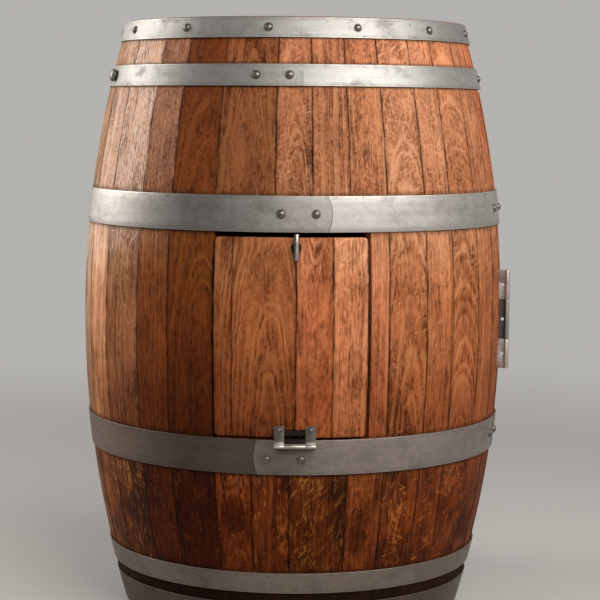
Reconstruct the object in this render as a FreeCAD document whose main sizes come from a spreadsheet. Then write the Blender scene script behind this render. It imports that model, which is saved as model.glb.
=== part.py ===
import FreeCAD, Part
import math
import os
import re
import Sketcher

# Barrel bar cabinet: a standing oak wine barrel with a drop-down hatch in front and a door in its side.
# The origin is the middle of the floor circle, +Z is up and the hatch faces -Y.
# Angles round the barrel are in degrees, counted from the front (-Y) towards the right (+X).

Vector = FreeCAD.Vector

SIZES = {
    # Barrel and its staves
    "barrel_height": 950.0,
    "bilge_radius": 345.0,
    "head_radius": 275.0,
    "stave_thickness": 27.0,
    "stave_joint": 0.3,
    "croze_setback": 40.0,
    "croze_width": 8.0,
    "croze_depth": 5.0,
    "chime_bevel_height": 22.0,
    "chime_flat": 18.0,
    "cut_overrun": 10.0,
    "seat_clearance": 0.2,
    # Heads in the croze grooves
    "head_thickness": 22.0,
    "head_bevel": 14.0,
    "tongue_setback": 3.0,
    "tongue_clearance": 0.2,
    # Hoops, by width and distance from the nearer end of the barrel
    "hoop_thickness": 2.0,
    "hoop_clearance": 0.2,
    "top_chime_width": 31.0,
    "low_chime_width": 52.0,
    "chime_hoop_setback": 1.0,
    "quarter_hoop_width": 33.0,
    "quarter_hoop_setback": 71.5,
    "bilge_hoop_width": 54.0,
    "top_bilge_setback": 267.0,
    "low_bilge_setback": 263.0,
    # Rivets and domed screws of the hoops, and the knob of the large screw at the left
    "rivet_head_radius": 6.0,
    "rivet_head_height": 4.2,
    "rivet_shank_radius": 3.0,
    "screw_head_radius": 5.8,
    "screw_head_height": 4.2,
    "screw_shank_radius": 2.5,
    "screw_length": 20.0,
    "knob_radius": 10.5,
    "knob_height": 10.0,
    # Small domed screws and flush screws of the hinges and battens
    "small_head_radius": 3.6,
    "small_head_height": 2.2,
    "small_shank_radius": 1.8,
    "small_length": 16.0,
    "batten_screw_length": 34.0,
    "flush_head_radius": 4.4,
    "flush_shank_radius": 2.2,
    "flush_length": 20.0,
    # Shelf below the hatch's sill, and the cleats under it
    "shelf_drop": 21.0,
    "shelf_thickness": 18.0,
    "cleat_height": 30.0,
    "cleat_depth": 22.0,
    "cleat_angle": 12.0,
    # Front hatch, by its gaps to the opening
    "hatch_left_angle": -20.8,
    "hatch_right_angle": 20.0,
    "hatch_gap_left": 2.5,
    "hatch_gap_right": 4.8,
    "hatch_gap_below": 3.0,
    "hatch_gap_above": 8.0,
    "lintel_cover": 3.0,
    "hatch_offset": 4.0,
    "notch_height": 12.0,
    "notch_clearance": 2.0,
    "batten_height": 42.0,
    "batten_thickness": 20.0,
    "batten_inset": 24.0,
    "batten_end_gap": 18.0,
    # Front hinge
    "front_hinge_width": 63.0,
    "leg_width": 15.5,
    "leg_reach": 19.0,
    "front_leaf_thickness": 2.0,
    "leaf_clearance": 1.2,
    "front_axis_drop": 9.3,
    "front_knuckle_radius": 3.4,
    "knuckle_tuck": 0.6,
    "front_pin_radius": 1.8,
    "pin_clearance": 0.05,
    "knuckle_end_gap": 0.3,
    "flange_depth": 24.0,
    "web_lift": 4.5,
    "web_lap": 3.0,
    "leg_screw_inset": 7.0,
    "flange_screw_inset": 8.0,
    # Bar pull of the hatch
    "pull_drop": 15.0,
    "pull_length": 40.0,
    "pull_bar_radius": 3.9,
    "pull_standoff": 10.0,
    "pull_post_radius": 3.0,
    "pull_rose_radius": 8.0,
    "pull_rose_thickness": 2.0,
    # Side door and the large hinge that carries it
    "side_hinge_angle": 76.0,
    "side_free_angle": 136.0,
    "side_gap": 4.0,
    "side_batten_inset": 60.0,
    "side_hinge_height": 160.0,
    "side_lug_height": 47.5,
    "side_standoff": 12.0,
    "side_leaf_depth": 24.0,
    "side_leaf_margin": 1.0,
    "side_leaf_thickness": 2.4,
    "side_leaf_gap": 0.2,
    "side_knuckle_radius": 4.2,
    "side_pin_radius": 2.4,
    "lug_hole_radius": 2.8,
    "lug_hole_out": 5.0,
    "side_screw_inset": 10.0,
    "side_screw_end": 25.0,
    "door_screw_inset": 22.0,
    # Magnetic catch of the side door
    "catch_height": 40.0,
    "catch_depth": 14.0,
    "catch_gap": 0.5,
    "catch_overlap": 26.0,
    "catch_foot": 30.0,
    "strike_thickness": 1.6,
    "strike_inset": 6.0,
}

# Stave joints seen from the front, in degrees
LEFT_JOINTS = (-33.8, -44.3, -58.5, -70.5, -83.0)
RIGHT_JOINTS = (25.0, 36.5, 45.8, 57.7, 67.8)
NOTCHED_STAVE_FROM = 14.8
UPPER_STUB_JOINTS = (-4.9, 4.8)
LOWER_STUB_JOINTS = (-10.9, -0.9)
HATCH_JOINTS = (0.7, 10.1)
REAR_STAVES = 8
SIDE_BOARDS = 4
HEAD_BOARDS = 6
CLEAT_ANGLES = (-60.0, 45.0, 160.0, 225.0)

# Fasteners round the hoops, in degrees, with the rivets' height as a share of the hoop's width
TOP_SCREW_COUNT = 13
TOP_SCREW_FIRST = -8.3
RIVETS = (
    ("top_chime", 168.0, 176.0, 0.5),
    ("top_quarter", -11.2, -1.6, 0.5),
    ("top_bilge", -3.3, 5.6, 0.5),
    ("low_bilge", -6.6, 2.3, 0.44),
    ("low_quarter", 176.0, 184.0, 0.5),
    ("low_chime", 176.0, 184.0, 0.5),
)
KNOB_SCREW = ("top_quarter", -72.0)
SIDE_SCREWS = (
    ("top_quarter", (79.0,)),
    ("top_bilge", (72.5, 140.0)),
    ("low_bilge", (72.5, 140.0)),
)

DERIVED = {
    # Bulging outline: one arc from end to end
    "mid_height": "barrel_height / 2",
    "bulge": "bilge_radius - head_radius",
    "arc_radius": "(mid_height^2 + bulge^2) / (2 * bulge)",
    "arc_offset": "arc_radius - bilge_radius",
    "half_joint_angle": "stave_joint / 2 / bilge_radius * 180 / pi",
    # Distances from the staves' outer arc
    "stave_out": "0",
    "stave_in": "-stave_thickness",
    "hoop_in": "hoop_clearance",
    "hoop_out": "hoop_clearance + hoop_thickness",
    "lining_out": "stave_in - seat_clearance",
    "batten_in": "lining_out - batten_thickness",
    "cleat_in": "lining_out - cleat_depth",
    "strike_in": "lining_out - strike_thickness",
    "catch_out": "strike_in - catch_gap",
    "catch_in": "catch_out - catch_depth",
    # Edges of the hoops
    "top_chime_high": "barrel_height - chime_hoop_setback",
    "top_chime_low": "top_chime_high - top_chime_width",
    "top_quarter_high": "barrel_height - quarter_hoop_setback",
    "top_quarter_low": "top_quarter_high - quarter_hoop_width",
    "top_bilge_high": "barrel_height - top_bilge_setback",
    "top_bilge_low": "top_bilge_high - bilge_hoop_width",
    "low_bilge_low": "low_bilge_setback",
    "low_bilge_high": "low_bilge_low + bilge_hoop_width",
    "low_quarter_low": "quarter_hoop_setback",
    "low_quarter_high": "low_quarter_low + quarter_hoop_width",
    "low_chime_low": "chime_hoop_setback",
    "low_chime_high": "low_chime_low + low_chime_width",
    # Ends of the staves: bevel and croze groove
    "floor_level": "0",
    "chime_flat_radius": "head_radius - chime_flat",
    "bevel_root": "-arc_offset + sqrt((arc_radius + stave_in)^2 - (mid_height - chime_bevel_height)^2)",
    "bevel_mouth": "-arc_offset + sqrt((arc_radius + stave_in)^2 - mid_height^2) - cut_overrun",
    "croze_middle": "croze_setback + croze_width / 2",
    "croze_inner": "croze_setback + croze_width",
    "croze_wall": "-arc_offset + sqrt((arc_radius + stave_in)^2 - (mid_height - croze_middle)^2)",
    "croze_floor": "croze_wall + croze_depth",
    "croze_mouth": "croze_wall - cut_overrun",
    "top_bevel_level": "barrel_height - chime_bevel_height",
    "top_croze_outer": "barrel_height - croze_setback",
    "top_croze_inner": "barrel_height - croze_inner",
    # Heads
    "axis_line": "0",
    "head_rim": "croze_floor - tongue_clearance",
    "tongue_root": "croze_wall - tongue_setback",
    "head_flat": "tongue_root - head_bevel",
    "low_head_low": "croze_middle - head_thickness / 2",
    "low_head_high": "croze_middle + head_thickness / 2",
    "low_tongue_low": "croze_setback + tongue_clearance",
    "low_tongue_high": "croze_inner - tongue_clearance",
    "top_head_low": "barrel_height - low_head_high",
    "top_head_high": "barrel_height - low_head_low",
    "top_tongue_low": "barrel_height - low_tongue_high",
    "top_tongue_high": "barrel_height - low_tongue_low",
    # Front hatch and its opening
    "hatch_sill": "low_bilge_high",
    "hatch_lintel": "top_bilge_low + lintel_cover",
    "hatch_low": "low_bilge_high + hatch_gap_below",
    "hatch_high": "top_bilge_low - hatch_gap_above",
    "hatch_from": "hatch_left_angle + hatch_gap_left / bilge_radius * 180 / pi",
    "hatch_to": "hatch_right_angle - hatch_gap_right / bilge_radius * 180 / pi",
    "hatch_batten_turn": "batten_end_gap / bilge_radius * 180 / pi",
    "hatch_batten_1_low": "hatch_low + batten_inset",
    "hatch_batten_1_high": "hatch_batten_1_low + batten_height",
    "hatch_batten_2_high": "hatch_high - batten_inset",
    "hatch_batten_2_low": "hatch_batten_2_high - batten_height",
    "pull_height": "hatch_high - pull_drop",
    # Shelf
    "shelf_height": "hatch_sill - shelf_drop",
    "shelf_low": "shelf_height - shelf_thickness",
    "shelf_wall": "-arc_offset + sqrt((arc_radius + stave_in)^2 - (mid_height - shelf_low)^2)",
    "shelf_radius": "shelf_wall - seat_clearance",
    "cleat_low": "shelf_low - cleat_height",
    # Front hinge, flat and upright before the lower bilge hoop
    "hoop_edge_radius": "-arc_offset + sqrt((arc_radius + hoop_out)^2 - (low_bilge_high - mid_height)^2)",
    "leaf_back": "hoop_edge_radius + leaf_clearance",
    "leaf_front": "leaf_back + front_leaf_thickness",
    "front_axis_out": "leaf_back + front_knuckle_radius - knuckle_tuck",
    "front_axis_height": "low_bilge_high - front_axis_drop",
    "front_bore_radius": "front_pin_radius + pin_clearance",
    "leaf_left": "hatch_offset - front_hinge_width / 2",
    "leaf_right": "hatch_offset + front_hinge_width / 2",
    "left_leg_in": "leaf_left + leg_width",
    "right_leg_in": "leaf_right - leg_width",
    "middle_left": "left_leg_in + knuckle_end_gap",
    "middle_right": "right_leg_in - knuckle_end_gap",
    "leaf_top": "hatch_low + leg_reach",
    "flange_low": "hatch_sill + seat_clearance",
    "flange_high": "flange_low + front_leaf_thickness",
    "flange_in": "leaf_back - flange_depth",
    "web_low": "flange_high + web_lift",
    "web_high": "hatch_low + notch_height - knuckle_end_gap",
    "web_back": "leaf_back - front_leaf_thickness",
    "notch_left": "left_leg_in - notch_clearance",
    "notch_right": "right_leg_in + notch_clearance",
    "notch_top": "hatch_low + notch_height",
    "notch_bottom": "hatch_low - cut_overrun",
    "opening_back": "bilge_radius - 2 * stave_thickness",
    "opening_front": "bilge_radius + cut_overrun",
    # Side door and its opening
    "side_sill": "low_quarter_high",
    "side_lintel": "top_quarter_low",
    "side_low": "side_sill + side_gap",
    "side_high": "side_lintel - side_gap",
    "leaf_root": "bilge_radius - side_leaf_depth",
    "leaf_half": "side_leaf_gap + side_leaf_thickness",
    "leaf_turn": "(leaf_half + seat_clearance) / (leaf_root - stave_thickness / 2) * 180 / pi",
    "side_frame_angle": "side_hinge_angle - leaf_turn",
    "side_from": "side_hinge_angle + leaf_turn",
    "side_to": "side_free_angle - side_gap / bilge_radius * 180 / pi",
    "side_batten_1_low": "side_low + side_batten_inset",
    "side_batten_1_high": "side_batten_1_low + batten_height",
    "side_batten_2_high": "side_high - side_batten_inset",
    "side_batten_2_low": "side_batten_2_high - batten_height",
    # Large hinge, in its own radial plane
    "side_axis_out": "bilge_radius + side_standoff",
    "side_hinge_low": "mid_height - side_hinge_height / 2",
    "side_hinge_high": "mid_height + side_hinge_height / 2",
    "lower_lug_high": "side_hinge_low + side_lug_height",
    "upper_lug_low": "side_hinge_high - side_lug_height",
    "middle_lug_low": "lower_lug_high + knuckle_end_gap",
    "middle_lug_high": "upper_lug_low - knuckle_end_gap",
    "side_leaf_edge": "bilge_radius + side_leaf_margin",
    "side_bore_radius": "side_pin_radius + pin_clearance",
    "lug_hole_line": "bilge_radius + lug_hole_out",
    # Magnetic catch
    "catch_low": "mid_height - catch_height / 2",
    "catch_high": "mid_height + catch_height / 2",
    "catch_from": "side_to - catch_overlap / bilge_radius * 180 / pi",
    "catch_foot_from": "side_free_angle + side_gap / bilge_radius * 180 / pi",
    "catch_to": "side_free_angle + catch_foot / bilge_radius * 180 / pi",
    "strike_from": "catch_from - strike_inset / bilge_radius * 180 / pi",
    "strike_to": "side_to - strike_inset / bilge_radius * 180 / pi",
}


# Document, sheet of driving sizes and set of derived values

doc = FreeCAD.newDocument("barrel_bar_cabinet")
sheet = doc.addObject("Spreadsheet::Sheet", "sizes")
for row, (name, number) in enumerate(SIZES.items(), start=1):
    sheet.set(f"A{row}", name)
    sheet.set(f"B{row}", str(number))
    sheet.setAlias(f"B{row}", name)
doc.recompute()
derived = doc.addObject("App::VarSet", "derived")


def formula(text):
    """The text as an expression: each size and derived value gets the name of what holds it."""

    def owned(match):
        word = match.group()
        if word in SIZES:
            return "sizes." + word
        if word in derived.PropertiesList:
            return "derived." + word
        return word

    return re.sub(r"[a-z]\w*", owned, text)


def derive(name, text):
    derived.addProperty("App::PropertyFloat", name, "Derived")
    derived.setExpression(name, formula(text))
    return name


for name, text in DERIVED.items():
    derive(name, text)
doc.recompute()


def value(name):
    return float(sheet.get(name)) if name in SIZES else getattr(derived, name)


def bind(item, **texts):
    for name, text in texts.items():
        item.setExpression(name, formula(text))


def turned(angle):
    """The placement that turns +X, where profiles are drawn, to an angle round the barrel."""
    return FreeCAD.Placement(Vector(), FreeCAD.Rotation(Vector(0, 0, 1), (angle - 90) % 360))


def grouped(label, items):
    group = doc.addObject("Part::Compound", label)
    group.Links = items
    return group


# Sketched profiles turned about the barrel's axis


def upright_sketch(body, label):
    sketch = body.newObject("Sketcher::SketchObject", label)
    plane = next(item for item in body.Origin.OriginFeatures if item.Role == "XZ_Plane")
    sketch.AttachmentSupport = [(plane, "")]
    sketch.MapMode = "FlatFace"
    return sketch


def pin_coordinate(sketch, kind, geometry, point, name):
    """Holds one coordinate of a point to a named value, or to the axis where the value is zero."""
    if value(name) == 0:
        axis = -1 if kind == "DistanceY" else -2
        sketch.addConstraint(Sketcher.Constraint("PointOnObject", geometry, point, axis))
        return
    index = sketch.addConstraint(Sketcher.Constraint(kind, -1, 1, geometry, point, value(name)))
    sketch.setExpression(f"Constraints[{index}]", formula(name))


def arc_between(offset, low, high):
    centre = Vector(-value("arc_offset"), value("mid_height"), 0)
    radius = value("arc_radius") + value(offset)
    angles = [math.asin((value(level) - centre.y) / radius) for level in (low, high)]
    return Part.ArcOfCircle(Part.Circle(centre, Vector(0, 0, 1), radius), *angles)


def arc_profile(sketch, low, high, outer, inner):
    """The slice between two arcs that follow the barrel's outline, cut level at both ends."""
    outside = arc_between(outer, low, high)
    inside = arc_between(inner, low, high)
    top = Part.LineSegment(outside.EndPoint, inside.EndPoint)
    bottom = Part.LineSegment(inside.StartPoint, outside.StartPoint)
    sketch.addGeometry([outside, top, inside, bottom])
    joined = ((0, 2, 1, 1), (1, 2, 2, 2), (2, 1, 3, 1), (3, 2, 0, 1), (0, 3, 2, 3))
    for ends in joined:
        sketch.addConstraint(Sketcher.Constraint("Coincident", *ends))
    for level in (1, 3):
        sketch.addConstraint(Sketcher.Constraint("Horizontal", level))
    index = sketch.addConstraint(Sketcher.Constraint("DistanceX", 0, 3, -1, 1, value("arc_offset")))
    sketch.setExpression(f"Constraints[{index}]", formula("arc_offset"))
    pin_coordinate(sketch, "DistanceY", 0, 3, "mid_height")
    for arc, offset in ((0, outer), (2, inner)):
        radius = value("arc_radius") + value(offset)
        index = sketch.addConstraint(Sketcher.Constraint("Radius", arc, radius))
        sketch.setExpression(f"Constraints[{index}]", formula(f"arc_radius + {offset}"))
    pin_coordinate(sketch, "DistanceY", 0, 1, low)
    pin_coordinate(sketch, "DistanceY", 0, 2, high)


def polygon(sketch, corners):
    """A closed outline through corners that are each a pair of named values."""
    first = len(sketch.Geometry)
    points = [Vector(value(x), value(y), 0) for x, y in corners]
    count = len(points)
    for index in range(count):
        sketch.addGeometry(Part.LineSegment(points[index], points[(index + 1) % count]))
    for index, (x, y) in enumerate(corners):
        line = first + index
        following = first + (index + 1) % count
        sketch.addConstraint(Sketcher.Constraint("Coincident", line, 2, following, 1))
        pin_coordinate(sketch, "DistanceX", line, 1, x)
        pin_coordinate(sketch, "DistanceY", line, 1, y)


def revolved(body, sketch, kind, turn):
    feature = body.newObject(kind, sketch.Name + "_turn")
    feature.Profile = sketch
    feature.ReferenceAxis = (sketch, ["V_Axis"])
    bind(feature, Angle=turn)
    return feature


def sector(label, low, high, outer, inner, start, end, joint="half_joint_angle"):
    """A piece of the barrel's wall between two levels, two arcs and two angles."""
    begin = derive(label + "_from", f"{start} + {joint}")
    finish = derive(label + "_to", f"{end} - {joint}")
    derived.recompute()
    body = doc.addObject("PartDesign::Body", label)
    sketch = upright_sketch(body, label + "_profile")
    arc_profile(sketch, low, high, outer, inner)
    revolved(body, sketch, "PartDesign::Revolution", f"{finish} - {begin}")
    body.Placement = turned(value(begin))
    return body


def ring(label, low, high, outer, inner):
    body = doc.addObject("PartDesign::Body", label)
    sketch = upright_sketch(body, label + "_profile")
    arc_profile(sketch, low, high, outer, inner)
    revolved(body, sketch, "PartDesign::Revolution", "360")
    body.Placement = turned(180)
    return body


LOW_END = (
    (
        ("chime_flat_radius", "floor_level"),
        ("bevel_root", "chime_bevel_height"),
        ("bevel_mouth", "floor_level"),
    ),
    (
        ("croze_mouth", "croze_setback"),
        ("croze_floor", "croze_setback"),
        ("croze_floor", "croze_inner"),
        ("croze_mouth", "croze_inner"),
    ),
)
TOP_END = (
    (
        ("chime_flat_radius", "barrel_height"),
        ("bevel_root", "top_bevel_level"),
        ("bevel_mouth", "barrel_height"),
    ),
    (
        ("croze_mouth", "top_croze_outer"),
        ("croze_floor", "top_croze_outer"),
        ("croze_floor", "top_croze_inner"),
        ("croze_mouth", "top_croze_inner"),
    ),
)


def with_grooves(body, outlines):
    """Cuts the croze groove and the chime bevel into the ends of a stave."""
    sketch = upright_sketch(body, body.Name + "_ends")
    for corners in outlines:
        polygon(sketch, corners)
    revolved(body, sketch, "PartDesign::Groove", "360")
    return body


def stave(label, start, end, low="floor_level", high="barrel_height"):
    body = sector(label, low, high, "stave_out", "stave_in", start, end)
    outlines = (LOW_END if low == "floor_level" else ()) + (TOP_END if high == "barrel_height" else ())
    return with_grooves(body, outlines) if outlines else body


# Boxes, rods and fasteners


def box(label, x, y, z):
    """A box between named low and high values along each axis."""
    item = doc.addObject("Part::Box", label)
    for axis, side, (low, high) in (("x", "Length", x), ("y", "Width", y), ("z", "Height", z)):
        item.setExpression(side, formula(f"({high}) - ({low})"))
        item.setExpression("Placement.Base." + axis, formula(low))
    return item


AXIS_TURNS = {
    "x": FreeCAD.Rotation(Vector(0, 1, 0), 90),
    "y": FreeCAD.Rotation(Vector(1, 0, 0), -90),
    "z": FreeCAD.Rotation(),
}


def rod(label, axis, radius, length, x, y, z):
    item = doc.addObject("Part::Cylinder", label)
    item.Placement = FreeCAD.Placement(Vector(), AXIS_TURNS[axis])
    bind(item, Radius=radius, Height=length)
    for name, text in (("x", x), ("y", y), ("z", z)):
        item.setExpression("Placement.Base." + name, formula(text))
    return item


def fused(label, items):
    item = doc.addObject("Part::MultiFuse", label)
    item.Shapes = items
    return item


def cut(label, base, tool):
    item = doc.addObject("Part::Cut", label)
    item.Base = base
    item.Tool = tool
    return item


def domed(label, head_radius, head_height, shank_radius, length):
    """A domed fastener: its head stands on the level plane and its shank runs down from there."""
    dome = f"(({head_radius})^2 + ({head_height})^2) / (2 * {head_height})"
    cap = doc.addObject("Part::Sphere", label + "_cap")
    bind(cap, Radius=dome, Angle1=f"asin(1 - {head_height} / ({dome}))")
    cap.setExpression("Placement.Base.z", formula(f"{head_height} - {dome}"))
    shank = rod(label + "_shank", "z", shank_radius, length, "0", "0", f"-{length}")
    return fused(label, [cap, shank])


def flush(label, head_radius, head_height, shank_radius, length):
    """A flush screw: its cone ends at the level plane and its shank runs down from there."""
    cone = doc.addObject("Part::Cone", label + "_head")
    bind(cone, Radius1=shank_radius, Radius2=head_radius, Height=head_height)
    cone.setExpression("Placement.Base.z", formula(f"-{head_height}"))
    shank = rod(label + "_shank", "z", shank_radius, length, "0", "0", f"-{length}")
    return fused(label, [cone, shank])


def wall_frame(angle, height, offset, inwards=False):
    """The placement of a fastener that stands square on an arc beside the barrel's outline."""
    radius = value("arc_radius") + offset
    lean = math.asin((height - value("mid_height")) / radius)
    round_by = math.radians(angle)
    along = Vector(math.cos(round_by), math.sin(round_by), 0)
    level = Vector(math.sin(round_by), -math.cos(round_by), 0)
    outward = level * math.cos(lean) + Vector(0, 0, math.sin(lean))
    distance = radius * math.cos(lean) - value("arc_offset")
    facing = outward * -1 if inwards else outward
    turn = FreeCAD.Rotation(along, facing.cross(along), facing, "ZXY")
    return FreeCAD.Placement(level * distance + Vector(0, 0, height), turn)


def copies(label, pairs):
    """One node of separate solids: each master solid copied to its placements."""
    solids = []
    for master, places in pairs:
        for place in places:
            solid = master.Shape.copy()
            solid.Placement = place.multiply(solid.Placement)
            solids.append(solid)
    group = doc.addObject("Part::Feature", label)
    group.Shape = Part.makeCompound(solids)
    return group


# Staves

nodes = []


def shared_out(start, end, count):
    """Joint places that part the turn between two angles into equal widths."""
    return [f"{start} + ({end} - {start}) * {step} / {count}" for step in range(count + 1)]


def between(joints):
    return list(zip(joints, joints[1:]))


def notched(body, start):
    """Cuts the hatch opening into the stave that the opening's right edge runs through."""
    sketch = upright_sketch(body, body.Name + "_notch")
    back, front = "opening_back", "opening_front"
    sill, lintel = "hatch_sill", "hatch_lintel"
    polygon(sketch, ((back, sill), (front, sill), (front, lintel), (back, lintel)))
    revolved(body, sketch, "PartDesign::Groove", f"hatch_right_angle - {start}")
    return body


right_joints = [str(NOTCHED_STAVE_FROM), *map(str, RIGHT_JOINTS), "side_frame_angle"]
rear_joints = shared_out("side_free_angle", f"(360 + {LEFT_JOINTS[-1]})", REAR_STAVES)
left_joints = [*map(str, reversed(LEFT_JOINTS)), "hatch_left_angle"]
full_staves = between(right_joints) + between(rear_joints) + between(left_joints)
for number, (start, end) in enumerate(full_staves, start=1):
    nodes.append(stave(f"stave_{number:02d}", start, end))
notched(nodes[0], "stave_01_from")


def stave_group(label, joints, **levels):
    pieces = [stave(f"{label}_{number}", start, end, **levels)
              for number, (start, end) in enumerate(between(joints), start=1)]
    nodes.append(grouped(label, pieces))


hatch_ends = ("hatch_left_angle", str(NOTCHED_STAVE_FROM))
upper_joints = [hatch_ends[0], *map(str, UPPER_STUB_JOINTS), hatch_ends[1]]
lower_joints = [hatch_ends[0], *map(str, LOWER_STUB_JOINTS), hatch_ends[1]]
side_joints = shared_out("side_from", "side_to", SIDE_BOARDS)
side_stub_joints = ["side_frame_angle", *side_joints[1:-1], "side_free_angle"]
stave_group("front_upper_staves", upper_joints, low="hatch_lintel")
stave_group("front_lower_staves", lower_joints, high="hatch_sill")
stave_group("side_upper_staves", side_stub_joints, low="side_lintel")
stave_group("side_lower_staves", side_stub_joints, high="side_sill")


# Hoops: four closed rings, and two that stop at the side door

for label, place in (
    ("top_chime_hoop", "top_chime"),
    ("top_quarter_hoop", "top_quarter"),
    ("bottom_quarter_hoop", "low_quarter"),
    ("bottom_chime_hoop", "low_chime"),
):
    nodes.append(ring(label, place + "_low", place + "_high", "hoop_out", "hoop_in"))
for label, place in (("upper_bilge_hoop", "top_bilge"), ("lower_bilge_hoop", "low_bilge")):
    levels = (place + "_low", place + "_high")
    nodes.append(sector(label, *levels, "hoop_out", "hoop_in", "side_free_angle", "side_frame_angle + 360"))


# Heads, shelf and cleats


def head(label, place):
    """A round head of boards, with a bevelled rim that ends in a tongue."""
    low, high = place + "_head_low", place + "_head_high"
    tongue_low, tongue_high = place + "_tongue_low", place + "_tongue_high"
    disc = doc.addObject("PartDesign::Body", label + "_disc")
    sketch = upright_sketch(disc, label + "_profile")
    polygon(sketch, (
        ("axis_line", low), ("head_flat", low), ("tongue_root", tongue_low), ("head_rim", tongue_low),
        ("head_rim", tongue_high), ("tongue_root", tongue_high), ("head_flat", high), ("axis_line", high),
    ))
    revolved(disc, sketch, "PartDesign::Revolution", "360")
    doc.recompute()
    rim = value("head_rim")
    width = 2 * rim / HEAD_BOARDS
    boards = []
    for board in range(HEAD_BOARDS):
        corner = Vector(-rim + board * width, -rim, value(low))
        slab = Part.makeBox(width - value("stave_joint"), 2 * rim, value("head_thickness"), corner)
        boards.append(disc.Shape.common(slab))
    node = doc.addObject("Part::Feature", label)
    node.Shape = Part.makeCompound([solid for board in boards for solid in board.Solids])
    nodes.append(node)


head("top_head", "top")
head("bottom_head", "low")
nodes.append(rod("shelf", "z", "shelf_radius", "shelf_thickness", "0", "0", "shelf_low"))
cleats = []
for number, angle in enumerate(CLEAT_ANGLES, start=1):
    ends = (f"{angle} - cleat_angle / 2", f"{angle} + cleat_angle / 2")
    cleats.append(sector(f"cleat_{number}", "cleat_low", "shelf_low", "lining_out", "cleat_in", *ends))
nodes.append(grouped("shelf_cleats", cleats))


# Front hatch


def battens(label, place, start, end):
    strips = []
    for number in (1, 2):
        levels = (f"{place}_batten_{number}_low", f"{place}_batten_{number}_high")
        strips.append(sector(f"{label}_{number}", *levels, "lining_out", "batten_in", start, end))
    nodes.append(grouped(label, strips))


opening_sides = ("-opening_front", "-opening_back")
hatch_notch = box("hatch_notch", ("notch_left", "notch_right"), opening_sides, ("notch_bottom", "notch_top"))
hatch_joints = ["hatch_from", *map(str, HATCH_JOINTS), "hatch_to"]
for number, (start, end) in enumerate(between(hatch_joints), start=1):
    label = f"front_door_board_{number}"
    blank = sector(label + "_blank", "hatch_low", "hatch_high", "stave_out", "stave_in", start, end)
    nodes.append(cut(label, blank, hatch_notch))
battens("front_door_battens", "hatch", "hatch_from + hatch_batten_turn", "hatch_to - hatch_batten_turn")

pull_angle = math.degrees(math.asin(value("hatch_offset") / value("bilge_radius")))
front_pull = fused("front_pull", [
    rod("pull_bar", "y", "pull_bar_radius", "pull_length", "0", "-pull_length / 2", "pull_standoff"),
    rod("pull_post", "z", "pull_post_radius", "pull_standoff", "0", "0", "0"),
    rod("pull_rose", "z", "pull_rose_radius", "pull_rose_thickness", "0", "0", "0"),
])
front_pull.Placement = wall_frame(pull_angle, value("pull_height"), value("seat_clearance"))
nodes.append(front_pull)


# Front hinge

front_line = ("-front_axis_out", "front_axis_height")
leaf_sides = ("-leaf_front", "-leaf_back")
leg_levels = ("front_axis_height", "leaf_top")
middle_span = ("middle_left", "middle_right")
middle_length = "middle_right - middle_left"
bore_length = "front_hinge_width + 2 * cut_overrun"
front_bore = rod("front_bore", "x", "front_bore_radius", bore_length, "leaf_left - cut_overrun", *front_line)
front_door_leaf = fused("front_door_leaf_blank", [
    box("front_left_leg", ("leaf_left", "left_leg_in"), leaf_sides, leg_levels),
    box("front_right_leg", ("right_leg_in", "leaf_right"), leaf_sides, leg_levels),
    box("front_web", ("left_leg_in - web_lap", "right_leg_in + web_lap"), ("-leaf_back", "-web_back"),
        ("web_low", "web_high")),
    rod("front_left_knuckle", "x", "front_knuckle_radius", "leg_width", "leaf_left", *front_line),
    rod("front_right_knuckle", "x", "front_knuckle_radius", "leg_width", "right_leg_in", *front_line),
])
front_frame_leaf = fused("front_frame_leaf_blank", [
    box("front_plate", middle_span, leaf_sides, ("front_axis_height", "flange_high")),
    box("front_flange", middle_span, ("-leaf_front", "-flange_in"), ("flange_low", "flange_high")),
    rod("front_middle_knuckle", "x", "front_knuckle_radius", middle_length, "middle_left", *front_line),
])
nodes.append(cut("front_hinge_door_leaf", front_door_leaf, front_bore))
nodes.append(cut("front_hinge_frame_leaf", front_frame_leaf, front_bore))
nodes.append(rod("front_hinge_pin", "x", "front_pin_radius", "front_hinge_width", "leaf_left", *front_line))


# Side door

for number, (start, end) in enumerate(between(side_joints), start=1):
    label = f"side_door_board_{number}"
    nodes.append(sector(label, "side_low", "side_high", "stave_out", "stave_in", start, end))
for label, place in (("side_door_upper_hoop", "top_bilge"), ("side_door_lower_hoop", "low_bilge")):
    levels = (place + "_low", place + "_high")
    nodes.append(sector(label, *levels, "hoop_out", "hoop_in", "side_from", "side_to"))
battens("side_door_battens", "side", "side_from + hatch_batten_turn", "side_to - hatch_batten_turn")


# Large hinge of the side door, made in the radial plane at +X and turned to its place


def side_leaf(label, sides, lugs, hole_levels):
    """One leaf: a plate in the joint, the lugs that stand out of it, their knuckles, bore and holes."""
    full = ("side_hinge_low", "side_hinge_high")
    pieces = [box(label + "_plate", ("leaf_root", "side_leaf_edge"), sides, full)]
    for number, (low, high) in enumerate(lugs, start=1):
        pieces.append(box(f"{label}_lug_{number}", ("bilge_radius", "side_axis_out"), sides, (low, high)))
        pieces.append(rod(f"{label}_knuckle_{number}", "z", "side_knuckle_radius", f"{high} - {low}",
                          "side_axis_out", "0", low))
    cuts = [rod(label + "_bore", "z", "side_bore_radius", "side_hinge_height + 2 * cut_overrun",
                "side_axis_out", "0", "side_hinge_low - cut_overrun")]
    for number, level in enumerate(hole_levels, start=1):
        cuts.append(rod(f"{label}_hole_{number}", "y", "lug_hole_radius", "2 * cut_overrun",
                        "lug_hole_line", "-cut_overrun", level))
    leaf = cut(label, fused(label + "_blank", pieces), fused(label + "_cuts", cuts))
    leaf.Placement = turned(value("side_hinge_angle"))
    nodes.append(leaf)


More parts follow.
